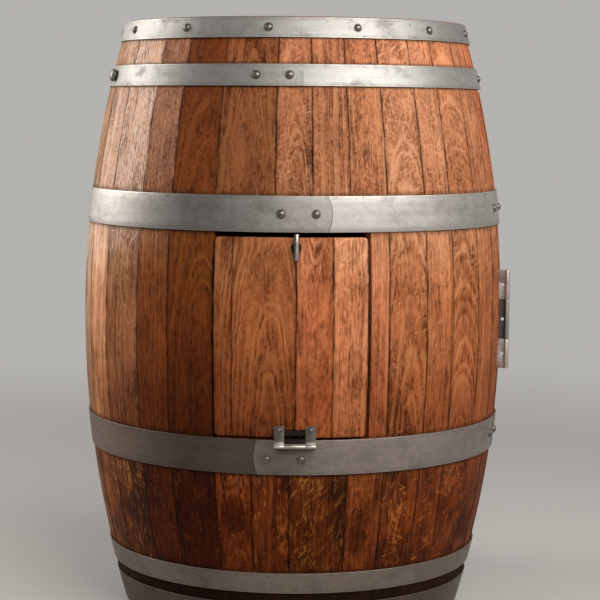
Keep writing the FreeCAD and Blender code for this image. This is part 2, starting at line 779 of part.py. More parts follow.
frame_lugs = (("side_hinge_low", "lower_lug_high"), ("upper_lug_low", "side_hinge_high"))
frame_holes = ("(side_hinge_low + lower_lug_high) / 2", "(upper_lug_low + side_hinge_high) / 2")
side_leaf("side_hinge_frame_leaf", ("-leaf_half", "-side_leaf_gap"), frame_lugs, frame_holes)
door_lugs = (("middle_lug_low", "middle_lug_high"),)
side_leaf("side_hinge_door_leaf", ("side_leaf_gap", "leaf_half"), door_lugs, ("mid_height",))
pin_foot = ("side_axis_out", "0", "side_hinge_low")
side_rod = rod("side_rod", "z", "side_pin_radius", "side_hinge_height", *pin_foot)
side_pin = grouped("side_hinge_pin", [side_rod])
side_pin.Placement = turned(value("side_hinge_angle"))
nodes.append(side_pin)


# Magnetic catch on the stave behind the side door's free edge, and its strike on the door

catch_levels = ("catch_low", "catch_high")
catch_body = sector("catch_body", *catch_levels, "catch_out", "catch_in", "catch_from", "catch_to")
catch_foot = sector("catch_seat", *catch_levels, "lining_out", "catch_out", "catch_foot_from", "catch_to")
nodes.append(fused("side_catch", [catch_body, catch_foot]))
strike_ends = ("strike_from", "strike_to")
nodes.append(sector("side_strike_plate", *catch_levels, "lining_out", "strike_in", *strike_ends))


# Fasteners

rivet = domed("rivet", "rivet_head_radius", "rivet_head_height", "rivet_shank_radius", "hoop_thickness")
screw = domed("screw", "screw_head_radius", "screw_head_height", "screw_shank_radius", "screw_length")
knob_screw = domed("knob_screw", "knob_radius", "knob_height", "screw_shank_radius", "screw_length")
small_sizes = ("small_head_radius", "small_head_height", "small_shank_radius")
small_screw = domed("small_screw", *small_sizes, "small_length")
batten_screw = domed("batten_screw", *small_sizes, "batten_screw_length")
flush_screw = flush(
    "flush_screw", "flush_head_radius", "side_leaf_thickness", "flush_shank_radius", "flush_length"
)
doc.recompute()


def on_hoop(place, angle, share=0.5):
    low, high = value(place + "_low"), value(place + "_high")
    return wall_frame(angle, low + share * (high - low), value("hoop_out"))


def facing(point, direction):
    return FreeCAD.Placement(point, FreeCAD.Rotation(Vector(0, 0, 1), direction))


def bilge_degrees(length):
    return math.degrees(value(length) / value("bilge_radius"))


def batten_screws(board_labels, place):
    """One screw through each batten into each board, driven from inside the barrel."""
    frames = []
    for label in board_labels:
        angle = (value(label + "_from") + value(label + "_to")) / 2
        for number in (1, 2):
            low, high = (value(f"{place}_batten_{number}_{end}") for end in ("low", "high"))
            frames.append(wall_frame(angle, (low + high) / 2, value("batten_in"), inwards=True))
    return frames


def side_leaf_screws(side):
    """Flush screws of one large leaf; side is -1 on the frame's leaf and 1 on the door's."""
    reach = value("leaf_root") + value("side_screw_inset")
    low, high = value("side_hinge_low"), value("side_hinge_high")
    levels = (low + value("side_screw_end"), value("mid_height"), high - value("side_screw_end"))
    turn = turned(value("side_hinge_angle"))
    points = [Vector(reach, side * value("side_leaf_gap"), level) for level in levels]
    return [turn.multiply(facing(point, Vector(0, -side, 0))) for point in points]


rivet_frames = [on_hoop(place, angle, share) for place, *angles, share in RIVETS for angle in angles]
nodes.append(copies("hoop_rivets", [(rivet, rivet_frames)]))

top_angles = [TOP_SCREW_FIRST + 360 * step / TOP_SCREW_COUNT for step in range(TOP_SCREW_COUNT)]
screw_frames = [on_hoop("top_chime", angle) for angle in top_angles]
screw_frames += [on_hoop(place, angle) for place, angles in SIDE_SCREWS for angle in angles]
nodes.append(copies("hoop_screws", [(screw, screw_frames), (knob_screw, [on_hoop(*KNOB_SCREW)])]))

door_angles = (
    value("side_from") + bilge_degrees("door_screw_inset"),
    value("side_to") - bilge_degrees("door_screw_inset"),
)
door_frames = [on_hoop(place, angle) for place in ("top_bilge", "low_bilge") for angle in door_angles]
nodes.append(copies("side_door_bolts", [(screw, door_frames)]))

leg_middles = (
    value("leaf_left") + value("leg_width") / 2,
    value("leaf_right") - value("leg_width") / 2,
)
leg_level = value("leaf_top") - value("leg_screw_inset")
leg_frames = [facing(Vector(x, -value("leaf_front"), leg_level), Vector(0, -1, 0)) for x in leg_middles]
hatch_frames = batten_screws([f"front_door_board_{number}_blank" for number in (1, 2, 3)], "hatch")
hatch_frames.append(wall_frame(pull_angle, value("pull_height"), value("stave_in"), inwards=True))
nodes.append(copies("front_door_screws", [(small_screw, leg_frames), (batten_screw, hatch_frames)]))

flange_line = -value("flange_in") - value("flange_screw_inset")
flange_places = [value(end) + side * value("flange_screw_inset") for end, side in
                 (("middle_left", 1), ("middle_right", -1))]
flange_level = value("flange_high")
flange_frames = [facing(Vector(x, flange_line, flange_level), Vector(0, 0, 1)) for x in flange_places]
frame_screws = [(small_screw, flange_frames), (flush_screw, side_leaf_screws(-1))]
nodes.append(copies("frame_hinge_screws", frame_screws))

side_frames = batten_screws([f"side_door_board_{number}" for number in range(1, SIDE_BOARDS + 1)], "side")
side_screws = [(batten_screw, side_frames), (flush_screw, side_leaf_screws(1))]
nodes.append(copies("side_door_screws", side_screws))


# Check every object, then write one file for each sub-part

doc.recompute()
for item in doc.Objects:
    if {"Invalid", "Error"} & set(item.State):
        raise RuntimeError(f"{item.Label} failed: {item.State}")
os.makedirs("parts", exist_ok=True)
for node in nodes:
    if node.Shape.isNull() or not node.Shape.isValid() or not node.Shape.Solids:
        raise RuntimeError(f"{node.Label} has no valid solid")
for node in nodes:
    node.Shape.exportStep(f"parts/{node.Label}.step")
print(len(nodes), "sub-parts,", sum(len(node.Shape.Solids) for node in nodes), "solids")
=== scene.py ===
import math
import random
from collections import namedtuple

import bmesh
import bpy
from mathutils import Matrix, Vector


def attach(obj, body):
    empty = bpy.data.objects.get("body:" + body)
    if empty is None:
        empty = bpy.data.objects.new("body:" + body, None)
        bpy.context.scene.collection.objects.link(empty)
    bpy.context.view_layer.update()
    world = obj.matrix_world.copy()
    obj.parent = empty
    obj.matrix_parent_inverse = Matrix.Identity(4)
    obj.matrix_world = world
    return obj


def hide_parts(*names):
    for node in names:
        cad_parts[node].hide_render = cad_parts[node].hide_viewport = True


# Barrel bar cabinet: the staves, doors and hoops are drawn flat and bent round the barrel.
# Lengths are metres; angles round the barrel are degrees from the front (-Y) towards the right (+X).

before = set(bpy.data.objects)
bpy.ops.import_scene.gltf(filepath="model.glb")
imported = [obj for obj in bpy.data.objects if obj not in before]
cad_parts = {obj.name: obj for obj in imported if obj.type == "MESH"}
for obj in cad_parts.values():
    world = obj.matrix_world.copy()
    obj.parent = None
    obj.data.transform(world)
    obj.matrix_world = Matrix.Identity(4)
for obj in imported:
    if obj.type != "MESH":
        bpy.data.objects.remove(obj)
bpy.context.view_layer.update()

# Barrel
BARREL_HEIGHT = 0.950
BILGE_RADIUS = 0.345
HEAD_RADIUS = 0.275
STAVE_THICKNESS = 0.027
MID_HEIGHT = BARREL_HEIGHT / 2
BULGE = BILGE_RADIUS - HEAD_RADIUS
ARC_RADIUS = (MID_HEIGHT**2 + BULGE**2) / (2 * BULGE)
ARC_OFFSET = ARC_RADIUS - BILGE_RADIUS
FULL_TURN = 360.0


def along_bilge(angle):
    """The length of an angle round the bilge."""
    return math.radians(angle) * BILGE_RADIUS


def round_bilge(length):
    """The angle of a length round the bilge."""
    return math.degrees(length / BILGE_RADIUS)


# Ends of the staves, by depth below the stave's face and height above the end
CHIME_DEPTH = 0.0172
CHIME_BEVEL = 0.022
CROZE_DEPTH = 0.0222
CROZE_NEAR = 0.040
CROZE_FAR = 0.048

# Boards
JOINT_GAP = 0.0003
STAVE_ROUNDING = 0.0010
ROUNDING_STEPS = 3
EDGE_STRIP = 0.0032
GRID_ALONG = 0.030
GRID_ACROSS = 0.012
FACE_FLATTENING = 0.45
CRACK_WIDTH = 0.0011
CRACK_DEPTH = 0.0010
NOTCH_OVERRUN = 0.020
CORNER_RADIUS = 0.006
CORNER_STEPS = 5
TOUCH = 1e-6
RANDOM_SEED = 41

# Openings in the barrel
HATCH_SILL = 0.317
HATCH_LINTEL = 0.632
HATCH_LOW = 0.320
HATCH_HIGH = 0.621
HATCH_LEFT = -20.8
HATCH_RIGHT = 20.0
HATCH_LEFT_GAP = 0.0025
HATCH_RIGHT_GAP = 0.0048
HATCH_FROM = HATCH_LEFT + round_bilge(HATCH_LEFT_GAP)
HATCH_TO = HATCH_RIGHT - round_bilge(HATCH_RIGHT_GAP)
HATCH_JOINTS = (HATCH_FROM, 0.7, 10.1, HATCH_TO)
HATCH_NOTCH_TOP = 0.332
HATCH_NOTCH_SIDES = (-0.0142, 0.0223)
SIDE_SILL = 0.1045
SIDE_LINTEL = 0.8455
SIDE_LOW = 0.1085
SIDE_HIGH = 0.8415
SIDE_FRAME = 75.478
SIDE_FROM = 76.522
SIDE_TO = 135.336
SIDE_FREE = 136.0

# Hoops, by level and by depth above the staves' faces
TOP_CHIME = (0.918, 0.949)
TOP_QUARTER = (0.8455, 0.8785)
TOP_BILGE = (0.629, 0.683)
LOW_BILGE = (0.263, 0.317)
LOW_QUARTER = (0.0715, 0.1045)
LOW_CHIME = (0.001, 0.053)
HOOP_LEVELS = (TOP_CHIME, TOP_QUARTER, TOP_BILGE, LOW_BILGE, LOW_QUARTER, LOW_CHIME)
HOOP_IN = 0.0002
HOOP_OUT = 0.0022
HOOP_ROUNDING = 0.0006
HOOP_ROUNDING_STEPS = 3
HOOP_ROWS = 5
HOOP_STEP = 2.5
LAP_HEIGHT = 0.0009
LAP_GAP = 0.00005
LAP_RAMP = 3.0
LAP_COVER = 15.0
LAP_LINE = 0.22

# Middle of the front hinge and of the pull, by x
FRONT_MIDDLE = 0.004


# Node trees


def math_node(operation, swapped=False):
    """A method that adds a Math node to a value, with another number where it takes two."""

    def method(self, *others):
        inputs = (*others, self) if swapped else (self, *others)
        return self.tree.add("ShaderNodeMath", inputs, operation=operation)

    return method


class Value:
    """A number or vector in a node tree. Operators on numbers add Math nodes."""

    def __init__(self, tree, socket):
        self.tree = tree
        self.socket = socket

    __add__ = __radd__ = math_node("ADD")
    __sub__ = math_node("SUBTRACT")
    __rsub__ = math_node("SUBTRACT", swapped=True)
    __mul__ = math_node("MULTIPLY")
    __truediv__ = math_node("DIVIDE")
    __pow__ = math_node("POWER")
    at_least = math_node("MAXIMUM")
    below = math_node("LESS_THAN")
    size = math_node("ABSOLUTE")
    fraction = math_node("FRACT")
    sine = math_node("SINE")
    cosine = math_node("COSINE")

    def part(self, key):
        return Value(self.tree, self.socket.node.outputs[key])

    def rising(self, start, end):
        """A smooth step from 0 at start to 1 at end; start may be the larger."""
        sockets = [self, start, end, 0.0, 1.0]
        return self.tree.add("ShaderNodeMapRange", sockets, interpolation_type="SMOOTHSTEP")


class Tree:
    """A node tree that is filled one node at a time."""

    def __init__(self, tree):
        self.tree = tree

    def add(self, kind, sockets=(), output=0, **settings):
        node = self.tree.nodes.new(kind)
        for name, setting in settings.items():
            setattr(node, name, setting)
        pairs = sockets.items() if isinstance(sockets, dict) else enumerate(sockets)
        for key, item in pairs:
            self.fill(node.inputs[key], item)
        return Value(self, node.outputs[output]) if node.outputs else node

    def fill(self, socket, item):
        """Links a socket to a value, or sets it to a plain number, colour or name."""
        if isinstance(item, Value):
            self.tree.links.new(item.socket, socket)
        else:
            socket.default_value = item

    def feed(self, shader, **sockets):
        """Fills the sockets of a shader, named with _ for a space."""
        for name, item in sockets.items():
            self.fill(shader.inputs[name.replace("_", " ")], item)

    def place(self):
        return self.add("ShaderNodeTexCoord", output="Object")

    def attribute(self, name, output="Vector"):
        return self.add("ShaderNodeAttribute", output=output, attribute_name=name)

    def split(self, vector):
        """The three parts of a vector."""
        whole = self.add("ShaderNodeSeparateXYZ", [vector])
        return whole, whole.part(1), whole.part(2)

    def joined(self, x, y, z):
        return self.add("ShaderNodeCombineXYZ", [x, y, z])

    def scaled(self, vector, factors):
        return self.add("ShaderNodeVectorMath", [vector, factors], operation="MULTIPLY")

    def moved(self, vector, shift):
        return self.add("ShaderNodeVectorMath", [vector, shift], operation="ADD")

    def noise(self, vector, across, along, detail=3.0, roughness=0.6, through=None):
        """Noise by its fineness across the grain, along it and, where that differs, through the board."""
        scaled = self.scaled(vector, (across, through or across, along))
        sockets = {"Vector": scaled, "Scale": 1.0, "Detail": detail, "Roughness": roughness}
        return self.add("ShaderNodeTexNoise", sockets)

    def line_noise(self, place, detail):
        sockets = {"W": place, "Scale": 1.0, "Detail": detail}
        return self.add("ShaderNodeTexNoise", sockets, noise_dimensions="1D")

    def mixed(self, factor, first, second, blend="MIX"):
        sockets = {0: factor, 6: first, 7: second}
        return self.add("ShaderNodeMix", sockets, 2, data_type="RGBA", blend_type=blend)

    def tinted(self, colour, factors):
        return self.mixed(1.0, colour, (*factors, 1.0), "MULTIPLY")

    def bumped(self, height, distance):
        return self.add("ShaderNodeBump", {"Strength": 1.0, "Distance": distance, "Height": height})


def new_finish(name):
    """An empty material: its tree and its shader node."""
    material = bpy.data.materials.new(name)
    material.use_nodes = True
    return material, Tree(material.node_tree), material.node_tree.nodes["Principled BSDF"]


# Finishes

# Dark dirt colour, also used for painted shade by the hoops and at the laps' ends
DIRT_AND_SHADE = (0.012, 0.006, 0.003, 1.0)
INNER_STAIN = (0.17, 0.085, 0.045, 1.0)
TARNISH_AND_SHADE = (0.026, 0.020, 0.016, 1.0)
SEED_SHIFT = (3.1, 5.7, 2.3)
RING_WIDTH = 0.0062
PATCH_EDGE = 0.47
PATCH_BLEND = 0.12
HOLE_SCALE = 21.0
HOLE_SHARE = 0.13

# Where the oak's tones change, from none to full, by level or by x
TOP_STAIN_AND_LIGHT = (0.56, 0.74)
WEATHERED = (0.64, 0.70)
PALER_FROM = (0.49, 0.62)
PALER_UP_TO = (0.70, 0.64)
DARKER_BELOW = (0.50, 0.35)
FOOT_STAIN_AND_SHADE = (0.38, 0.19)
FOOT = (0.30, 0.24)
SHOULDER = (0.876, 0.884)
SHOULDER_FROM = (-0.16, -0.06)
LEFT_HALF = (-0.04, -0.14)
LEFT_SIDE = (-0.185, -0.225)
LEFT_FRONT_UP_TO = (-0.10, -0.14)
LEFT_FRONT_FROM = (-0.30, -0.26)

# Factors on the oak's stain, then on its colour where its tones change
DEEP_GRAIN = (0.277, 0.189, 0.116)
PALE_GRAIN = (1.88, 2.09, 2.18)
RAY_TINT = (1.90, 2.58, 3.00)
LEFT_TINT = (0.83, 0.82, 0.80)
PALER_TINT = (1.13, 1.33, 1.54)
PALER_LEFT_TINT = (1.20, 1.28, 1.38)
DARKER_TINT = (0.68, 0.58, 0.48)
DARKER_LEFT_TINT = (0.80, 0.80, 0.80)
FOOT_TINT = (0.52, 0.365, 0.187)
SOOT_TINT = (0.34, 0.31, 0.31)
FOOT_FLECK_TINT = (2.6, 3.7, 4.0)
SHOULDER_TINT = (1.18, 1.12, 1.14)

# How far the painted shade beside the hoops reaches from them
UPPER_SHADE_REACH = 0.005
LOWER_SHADE_REACH = 0.009
SHADE_NEAR = 0.001
BAND_BLEND = 0.006


def reseeded(tree, flat, seed):
    """The flat place moved by a seed, so that boards and strips have a grain of their own."""
    return tree.moved(flat, tree.joined(*(seed * shift for shift in SEED_SHIFT)))


def oak_finish(name):
    """Stained oak that reads each board's own attributes: flat place, stain, heart of the tree and traits."""
    material, tree, shader = new_finish(name)
    flat = tree.attribute("flat")
    across, depth, along = tree.split(flat)
    x, _, height = tree.split(tree.place())
    heart_across, heart_depth, heart_lean = tree.split(tree.attribute("heart"))
    seed, fleck_share, edge = tree.split(tree.attribute("traits"))
    own = reseeded(tree, flat, seed)

    def noise(*numbers):
        return tree.noise(own, *numbers)

    pores = noise(480.0, 30.0, 2.0).rising(0.50, 0.66)
    fine_pores = noise(1300.0, 48.0, 2.0).rising(0.54, 0.64)
    fibre = noise(150.0, 7.0, 4.0, 0.65) - 0.5
    drift = noise(36.0, 2.4) - 0.5
    grit = noise(260.0, 78.0, 3.0, 0.62) - 0.5
    cloud = noise(13.0, 7.0, 4.0)
    mottle = noise(44.0, 21.0) - 0.5
    uneven_height = height + (cloud - 0.5) * 0.12
    # Each board's stain gives way to its top stain upwards; the paler top stains partly paint light from
    # above
    stains = (tree.attribute(layer, "Color") for layer in ("stain", "top_stain"))
    stain = tree.mixed(uneven_height.rising(*TOP_STAIN_AND_LIGHT), *stains)
    smoke = noise(17.0, 6.5).rising(0.52, 0.70)
    wander = noise(15.0, 4.0, 3.0, 0.55) - 0.5
    sway = noise(7.0, 9.0, 3.0, 0.55) - 0.5

    # Growth rings about the heart of the tree, which leans in the board, so that they show as arches
    ripple = noise(62.0, 24.0, 2.0, 0.5) - 0.5
    from_heart = across - heart_across + wander * 0.016 + ripple * 0.007
    below_heart = depth + heart_depth + heart_lean * (along - MID_HEIGHT) + sway * 0.020
    ring = (from_heart**2.0 + below_heart**2.0) ** 0.5 / RING_WIDTH
    ring = ring + tree.line_noise(ring * 0.45 + seed, 1.0) * 2.4
    phase = ring.fraction()
    year = tree.line_noise((ring - phase) * 7.3 + seed, 0.0)
    ring_share = year.rising(0.20, 0.60) * (cloud.rising(0.32, 0.56) * 0.65 + 0.35)
    porous = phase.rising(0.0, 0.12) * phase.rising(0.56, 0.26) * ring_share
    late_wood = phase.rising(0.56, 0.74) * phase.rising(1.0, 0.90) * ring_share

    # Rays: pale flecks across the grain at a slant and curly lines, both in patches
    slant = (seed * 2.7).sine() * 0.5 + 0.75
    patch = noise(24.0, 9.0, 3.0, 0.55)
    rays = 0.0
    for way in (-1.0, 1.0):
        turning = {"Vector": own, "Angle": slant * way}
        turned = tree.add("ShaderNodeVectorRotate", turning, rotation_type="Y_AXIS")
        ray = tree.noise(turned, 58.0, 215.0).rising(0.55, 0.65)
        start = PATCH_EDGE * way
        rays = (ray * (patch * way).rising(start, start + PATCH_BLEND)).at_least(rays)
    curl = noise(120.0, 34.0, 2.0, 0.55, 60.0)
    curl_patch = noise(31.0, 12.0, 2.0, 0.5).rising(0.44, 0.60)
    curly = (curl - 0.5).size().rising(0.045, 0.012) * curl_patch
    dashes = noise(200.0, 40.0, 2.0)
    spots = dashes.rising(0.57, 0.68) * noise(22.0, 9.0, 2.0, 0.5).rising(0.44, 0.60)
    arches = late_wood * dashes.rising(0.28, 0.52)
    specks = rays.at_least(curly * 0.8).at_least(spots) * fleck_share
    flecks = specks.at_least(arches * 0.95)

    # Marks of the plane and saw, worm holes and dirt in the joints
    plane_marks = noise(16.0, 380.0, 2.0, 0.5).rising(0.61, 0.74) * cloud.rising(0.46, 0.64)
    on_face = tree.scaled(own, (1.0, 0.1, 1.0))
    cells = tree.add("ShaderNodeTexVoronoi", {"Vector": on_face, "Scale": HOLE_SCALE})
    picked = tree.add("ShaderNodeSeparateColor", [cells.part("Color")]).below(HOLE_SHARE)
    holes = cells.rising(0.026, 0.017) * picked
    worn_joint = noise(40.0, 21.0).rising(0.30, 0.62)
    joint_dirt = edge.rising(0.0030, 0.0006) * worn_joint
    edge_dirt = edge.rising(0.009, 0.001) * cloud.rising(0.42, 0.70)

    # Above the upper bilge hoop the surface is weathered to a finer, rounder grain
    upper = height.rising(*WEATHERED)
    speckle = noise(230.0, 170.0, 3.0, 0.62) - 0.5
    tone = 0.58 + drift * 0.42 + fibre * (0.52 - upper * 0.38) + grit * (1.10 - upper * 0.40)
    tone = tone + speckle * upper * 1.30 + (cloud - 0.5) * 0.85 + mottle * 0.70
    tone = tone - porous * 0.11 - pores * (porous * 0.20 + 0.09) * (1.0 - upper * 0.5)
    tone = tone - plane_marks * 0.16 - smoke * 0.28 - fine_pores * (0.17 - upper * 0.08)
    deep, pale, ray_colour = (tree.tinted(stain, tint) for tint in (DEEP_GRAIN, PALE_GRAIN, RAY_TINT))
    colour = tree.mixed(tone.rising(-0.08, 1.08), deep, pale)
    colour = tree.mixed(flecks * 0.74, colour, ray_colour)

    # Paler below the upper bilge hoop, darker and redder towards the foot, both more so on the left: mostly
    # painted light and shade
    paler = uneven_height.rising(*PALER_FROM) * height.rising(*PALER_UP_TO)
    darker = uneven_height.rising(*DARKER_BELOW)
    left_front = x.rising(*LEFT_FRONT_UP_TO) * x.rising(*LEFT_FRONT_FROM)
    foot = height.rising(*FOOT)
    soot = noise(19.0, 12.0, 4.0, 0.64).rising(0.46, 0.62)
    changes = (
        # Painted shade on the left half
        (x.rising(*LEFT_HALF), LEFT_TINT),
        # Painted light below the upper bilge hoop, with a painted sheen on the far left
        (paler, PALER_TINT),
        (paler * x.rising(*LEFT_SIDE), PALER_LEFT_TINT),
        # Painted shade on the lower half, more so at the left front
        (darker, DARKER_TINT),
        (darker * left_front, DARKER_LEFT_TINT),
        # The foot darker and redder, partly a stained foot and partly painted shade, with soot and flecks
        # there
        (uneven_height.rising(*FOOT_STAIN_AND_SHADE) * 0.95, FOOT_TINT),
        (foot * soot * 0.85, SOOT_TINT),
        (foot * specks * 0.85, FOOT_FLECK_TINT),
        # Painted light on the shoulder right of the middle
        (height.rising(*SHOULDER) * x.rising(*SHOULDER_FROM), SHOULDER_TINT),
    )
    for share, tint in changes:
        colour = tree.mixed(share, colour, tree.tinted(colour, tint))
    colour = tree.mixed(depth.rising(0.018, 0.026) * 0.8, colour, tree.mixed(0.5, INNER_STAIN, stain))

    # Painted shade beside the hoops and in the band between the two lowest hoops, and dirt in the joints
    beside_hoop = 0.0
    for low, high in HOOP_LEVELS:
        away = (height - (low + high) / 2).size() - (high - low) / 2
        reach = UPPER_SHADE_REACH if low >= TOP_QUARTER[0] else LOWER_SHADE_REACH
        beside_hoop = away.rising(reach, SHADE_NEAR).at_least(beside_hoop)
    beside_hoop = beside_hoop * (cloud.rising(0.25, 0.60) * 0.6 + 0.4)
    low, high = LOW_CHIME[1], LOW_QUARTER[0]
    low_band = height.rising(low - BAND_BLEND, low) * height.rising(high + BAND_BLEND, high)
    # Painted shade of the hoops on the wood beside them and between the two lowest
    hoop_shade = (beside_hoop * 0.54).at_least(low_band * 0.93) * depth.rising(0.012, 0.004)
    dirt_and_shade = (joint_dirt * 0.88).at_least(edge_dirt * 0.30).at_least(holes * 0.9).at_least(hoop_shade)
    colour = tree.mixed(dirt_and_shade, colour, DIRT_AND_SHADE)
    roughness = 0.62 + pores * 0.12 - flecks * 0.16 + dirt_and_shade * 0.25 + (cloud - 0.5) * 0.12
    relief = flecks * 0.25 - pores * 0.35 - fine_pores * 0.25 - porous * 0.35
    relief = relief - plane_marks * 0.25 - holes * 3.0
    tree.feed(shader, Base_Color=colour, Roughness=roughness, Normal=tree.bumped(relief, 0.00035))
    tree.feed(shader, Specular_IOR_Level=0.09)
    return material


# Where the lower bilge hoop has a painted shadow under the front hinge: half width, levels and front
HINGE_SHADOW_SIDES = (0.034, 0.022)
HINGE_SHADOW_LEVELS = (0.290, 0.301)
HINGE_SHADOW_FRONT = (0.0, -0.1)
HINGE_SHADOW_TOP = (LOW_BILGE[1] + 0.005, LOW_BILGE[1])


def hoop_finish(name):
    """Galvanised hoop steel: mottled zinc with streaks along the strip, scratches, darker stains and painted
    shade.
    """
    material, tree, shader = new_finish(name)
    stain = tree.attribute("stain", "Color")
    seed, lap_line_shade, edge = tree.split(tree.attribute("traits"))
    own = reseeded(tree, tree.attribute("flat"), seed)

    def noise(*numbers):
        return tree.noise(own, *numbers)

    mottle = noise(60.0, 75.0, 4.0, 0.62) - 0.5
    spangle = noise(380.0, 380.0, 2.0) - 0.5
    streaks = noise(6.0, 260.0) - 0.5
    cloud = noise(5.0, 20.0, 3.0, 0.55)
    smear = noise(20.0, 34.0, 4.0, 0.68).rising(0.50, 0.72)
    scratch = noise(34.0, 900.0, 1.0, 0.5).rising(0.68, 0.76)
    nicks = noise(190.0, 190.0, 1.0, 0.5).rising(0.75, 0.80)
    # Edges worn bright, partly a painted highlight
    wear_and_light = edge.rising(0.0026, 0.0006)
    grimy = edge.rising(0.0075, 0.0022) * mottle.rising(-0.10, 0.22)
    x, y, z = tree.split(tree.place())
    # Painted shadow of the front hinge's knuckles on the lower bilge hoop
    under_hinge = (x - FRONT_MIDDLE).size().rising(*HINGE_SHADOW_SIDES) * z.rising(*HINGE_SHADOW_LEVELS)
    under_hinge = under_hinge * y.rising(*HINGE_SHADOW_FRONT) * z.rising(*HINGE_SHADOW_TOP)
    tone = 0.52 + mottle * 0.56 + spangle * 0.52 + streaks * 0.28 + (cloud - 0.5) * 0.60
    dark = tree.tinted(stain, (0.63, 0.61, 0.59))
    bright = tree.tinted(stain, (1.15, 1.15, 1.15))
    colour = tree.mixed(tone.rising(0.05, 0.95), dark, bright)
    changes = (
        (smear * 0.46, (0.54, 0.51, 0.48)),
        (grimy * 0.50, (0.40, 0.35, 0.31)),
        (under_hinge * 0.70, (0.30, 0.25, 0.21)),
        (scratch * 0.35 + wear_and_light * 0.40, (1.22, 1.22, 1.21)),
    )
    for share, tint in changes:
        colour = tree.mixed(share, colour, tree.tinted(stain, tint))
    # Nicks, and the painted shade at the laps' ends
    colour = tree.mixed((nicks * 0.70).at_least(lap_line_shade), colour, DIRT_AND_SHADE)
    roughness = 0.52 + mottle * 0.22 + smear * 0.12 - wear_and_light * 0.08
    relief = mottle * 0.4 + spangle * 0.25 + streaks * 0.3 - nicks * 0.8
    tree.feed(shader, Base_Color=colour, Roughness=roughness, Normal=tree.bumped(relief, 0.00020))
    tree.feed(shader, Metallic=0.92)
    return material


def fitting_finish(name, light, dark, roughness, grain, tarnish_and_shade=None):
    """Plated steel of the small fittings, with grain, a little wear and a part darkened by tarnish and
    painted shade.
    """
    material, tree, shader = new_finish(name)
    place = tree.place()
    brushing = tree.noise(place, *grain) - 0.5
    cloud = tree.noise(place, 45.0, 45.0)
    pits = tree.noise(place, 420.0, 420.0, 1.0, 0.5).rising(0.66, 0.76)
    tone = 0.55 + brushing * 0.7 + (cloud - 0.5) * 0.9 - pits * 0.45
    colour = tree.mixed(tone.rising(0.0, 1.0), (*dark, 1.0), (*light, 1.0))
    rough = roughness + brushing * 0.18 + pits * 0.2
    if tarnish_and_shade:
        darkening = tarnish_and_shade(*tree.split(place))
        colour = tree.mixed(darkening, colour, TARNISH_AND_SHADE)
        rough = rough + darkening * 0.3
    relief = tree.bumped(brushing - pits * 0.35, 0.0001)
    tree.feed(shader, Base_Color=colour, Roughness=rough, Normal=relief, Metallic=1.0)
    return material


# Where the fittings' tarnish and painted shade start and are full
RECESS_SIDES = (0.0161, 0.0158)
RECESS_LEVELS = (0.3110, 0.3118)
LEG_LEVELS = (0.3118, 0.3165)
KNUCKLE_LEVELS = (0.3072, 0.3052)
LUG_ENDS = (0.0330, 0.0322)
LUG_DEPTH = (0.3455, 0.3440)
PULL_FLANK = (0.0036, 0.0016)
PULL_FOOT = (-0.3500, -0.3470)
PULL_LOW_END = (0.5895, 0.5875)


def front_hinge_shade(x, _, z):
    """Painted shade between the legs of the front hinge above its knuckles, on the legs and under the
    knuckles.
    """
    recess = (x - FRONT_MIDDLE).size().rising(*RECESS_SIDES) * z.rising(*RECESS_LEVELS)
    return recess.at_least(z.rising(*LEG_LEVELS) * 0.80).at_least(z.rising(*KNUCKLE_LEVELS) * 0.80)


def middle_lug_shade(x, _, z):
    """Painted shade on the door's lug of the large hinge, between the two of the frame."""
    return (z - MID_HEIGHT).size().rising(*LUG_ENDS) * (0.35 + x.rising(*LUG_DEPTH) * 0.40)


def pull_rose_and_shade(x, y, z):
    """The pull's rose and post darkened close to the wood, and painted shade on the bar's flank and lower
    end.
    """
    flank = x.rising(*PULL_FLANK) * 0.85
    return y.rising(*PULL_FOOT).at_least(flank).at_least(z.rising(*PULL_LOW_END))


def plastic_finish(name):
    """Black moulded plastic with a fine texture."""
    material, tree, shader = new_finish(name)
    place = tree.place()
    texture = tree.noise(place, 900.0, 900.0, 2.0, 0.5)
    cloud = tree.noise(place, 60.0, 60.0, 2.0, 0.5)
    colour = tree.mixed(cloud.rising(0.3, 0.7), (0.014, 0.014, 0.015, 1.0), (0.026, 0.025, 0.025, 1.0))
    tree.feed(shader, Base_Color=colour, Roughness=0.5 + cloud * 0.15, Normal=tree.bumped(texture, 0.0001))
    return material


OAK = oak_finish("oak")
HOOP_STEEL = hoop_finish("hoop_steel")
ALONG_Z = (40.0, 500.0)
ACROSS_Z = (400.0, 60.0)
ALL_WAYS = (200.0, 200.0)
SIDE_HINGE_STEEL = fitting_finish(
    "side_hinge_steel", (0.58, 0.545, 0.515), (0.33, 0.300, 0.275), 0.50, ALONG_Z, middle_lug_shade)
HINGE_STEEL = fitting_finish("hinge_steel", (0.74, 0.71, 0.67), (0.34, 0.31, 0.28), 0.36, ALONG_Z)
FRONT_HINGE_STEEL = fitting_finish(
    "front_hinge_steel", (0.67, 0.62, 0.555), (0.30, 0.26, 0.22), 0.34, ALONG_Z, front_hinge_shade)
PULL_STEEL = fitting_finish(
    "pull_steel", (0.60, 0.55, 0.515), (0.24, 0.20, 0.18), 0.28, ACROSS_Z, pull_rose_and_shade)
SCREW_STEEL = fitting_finish(
    "screw_steel", (0.25, 0.225, 0.20), (0.055, 0.046, 0.040), 0.34, ALL_WAYS)
CATCH_PLASTIC = plastic_finish("catch_plastic")


# Geometry trees


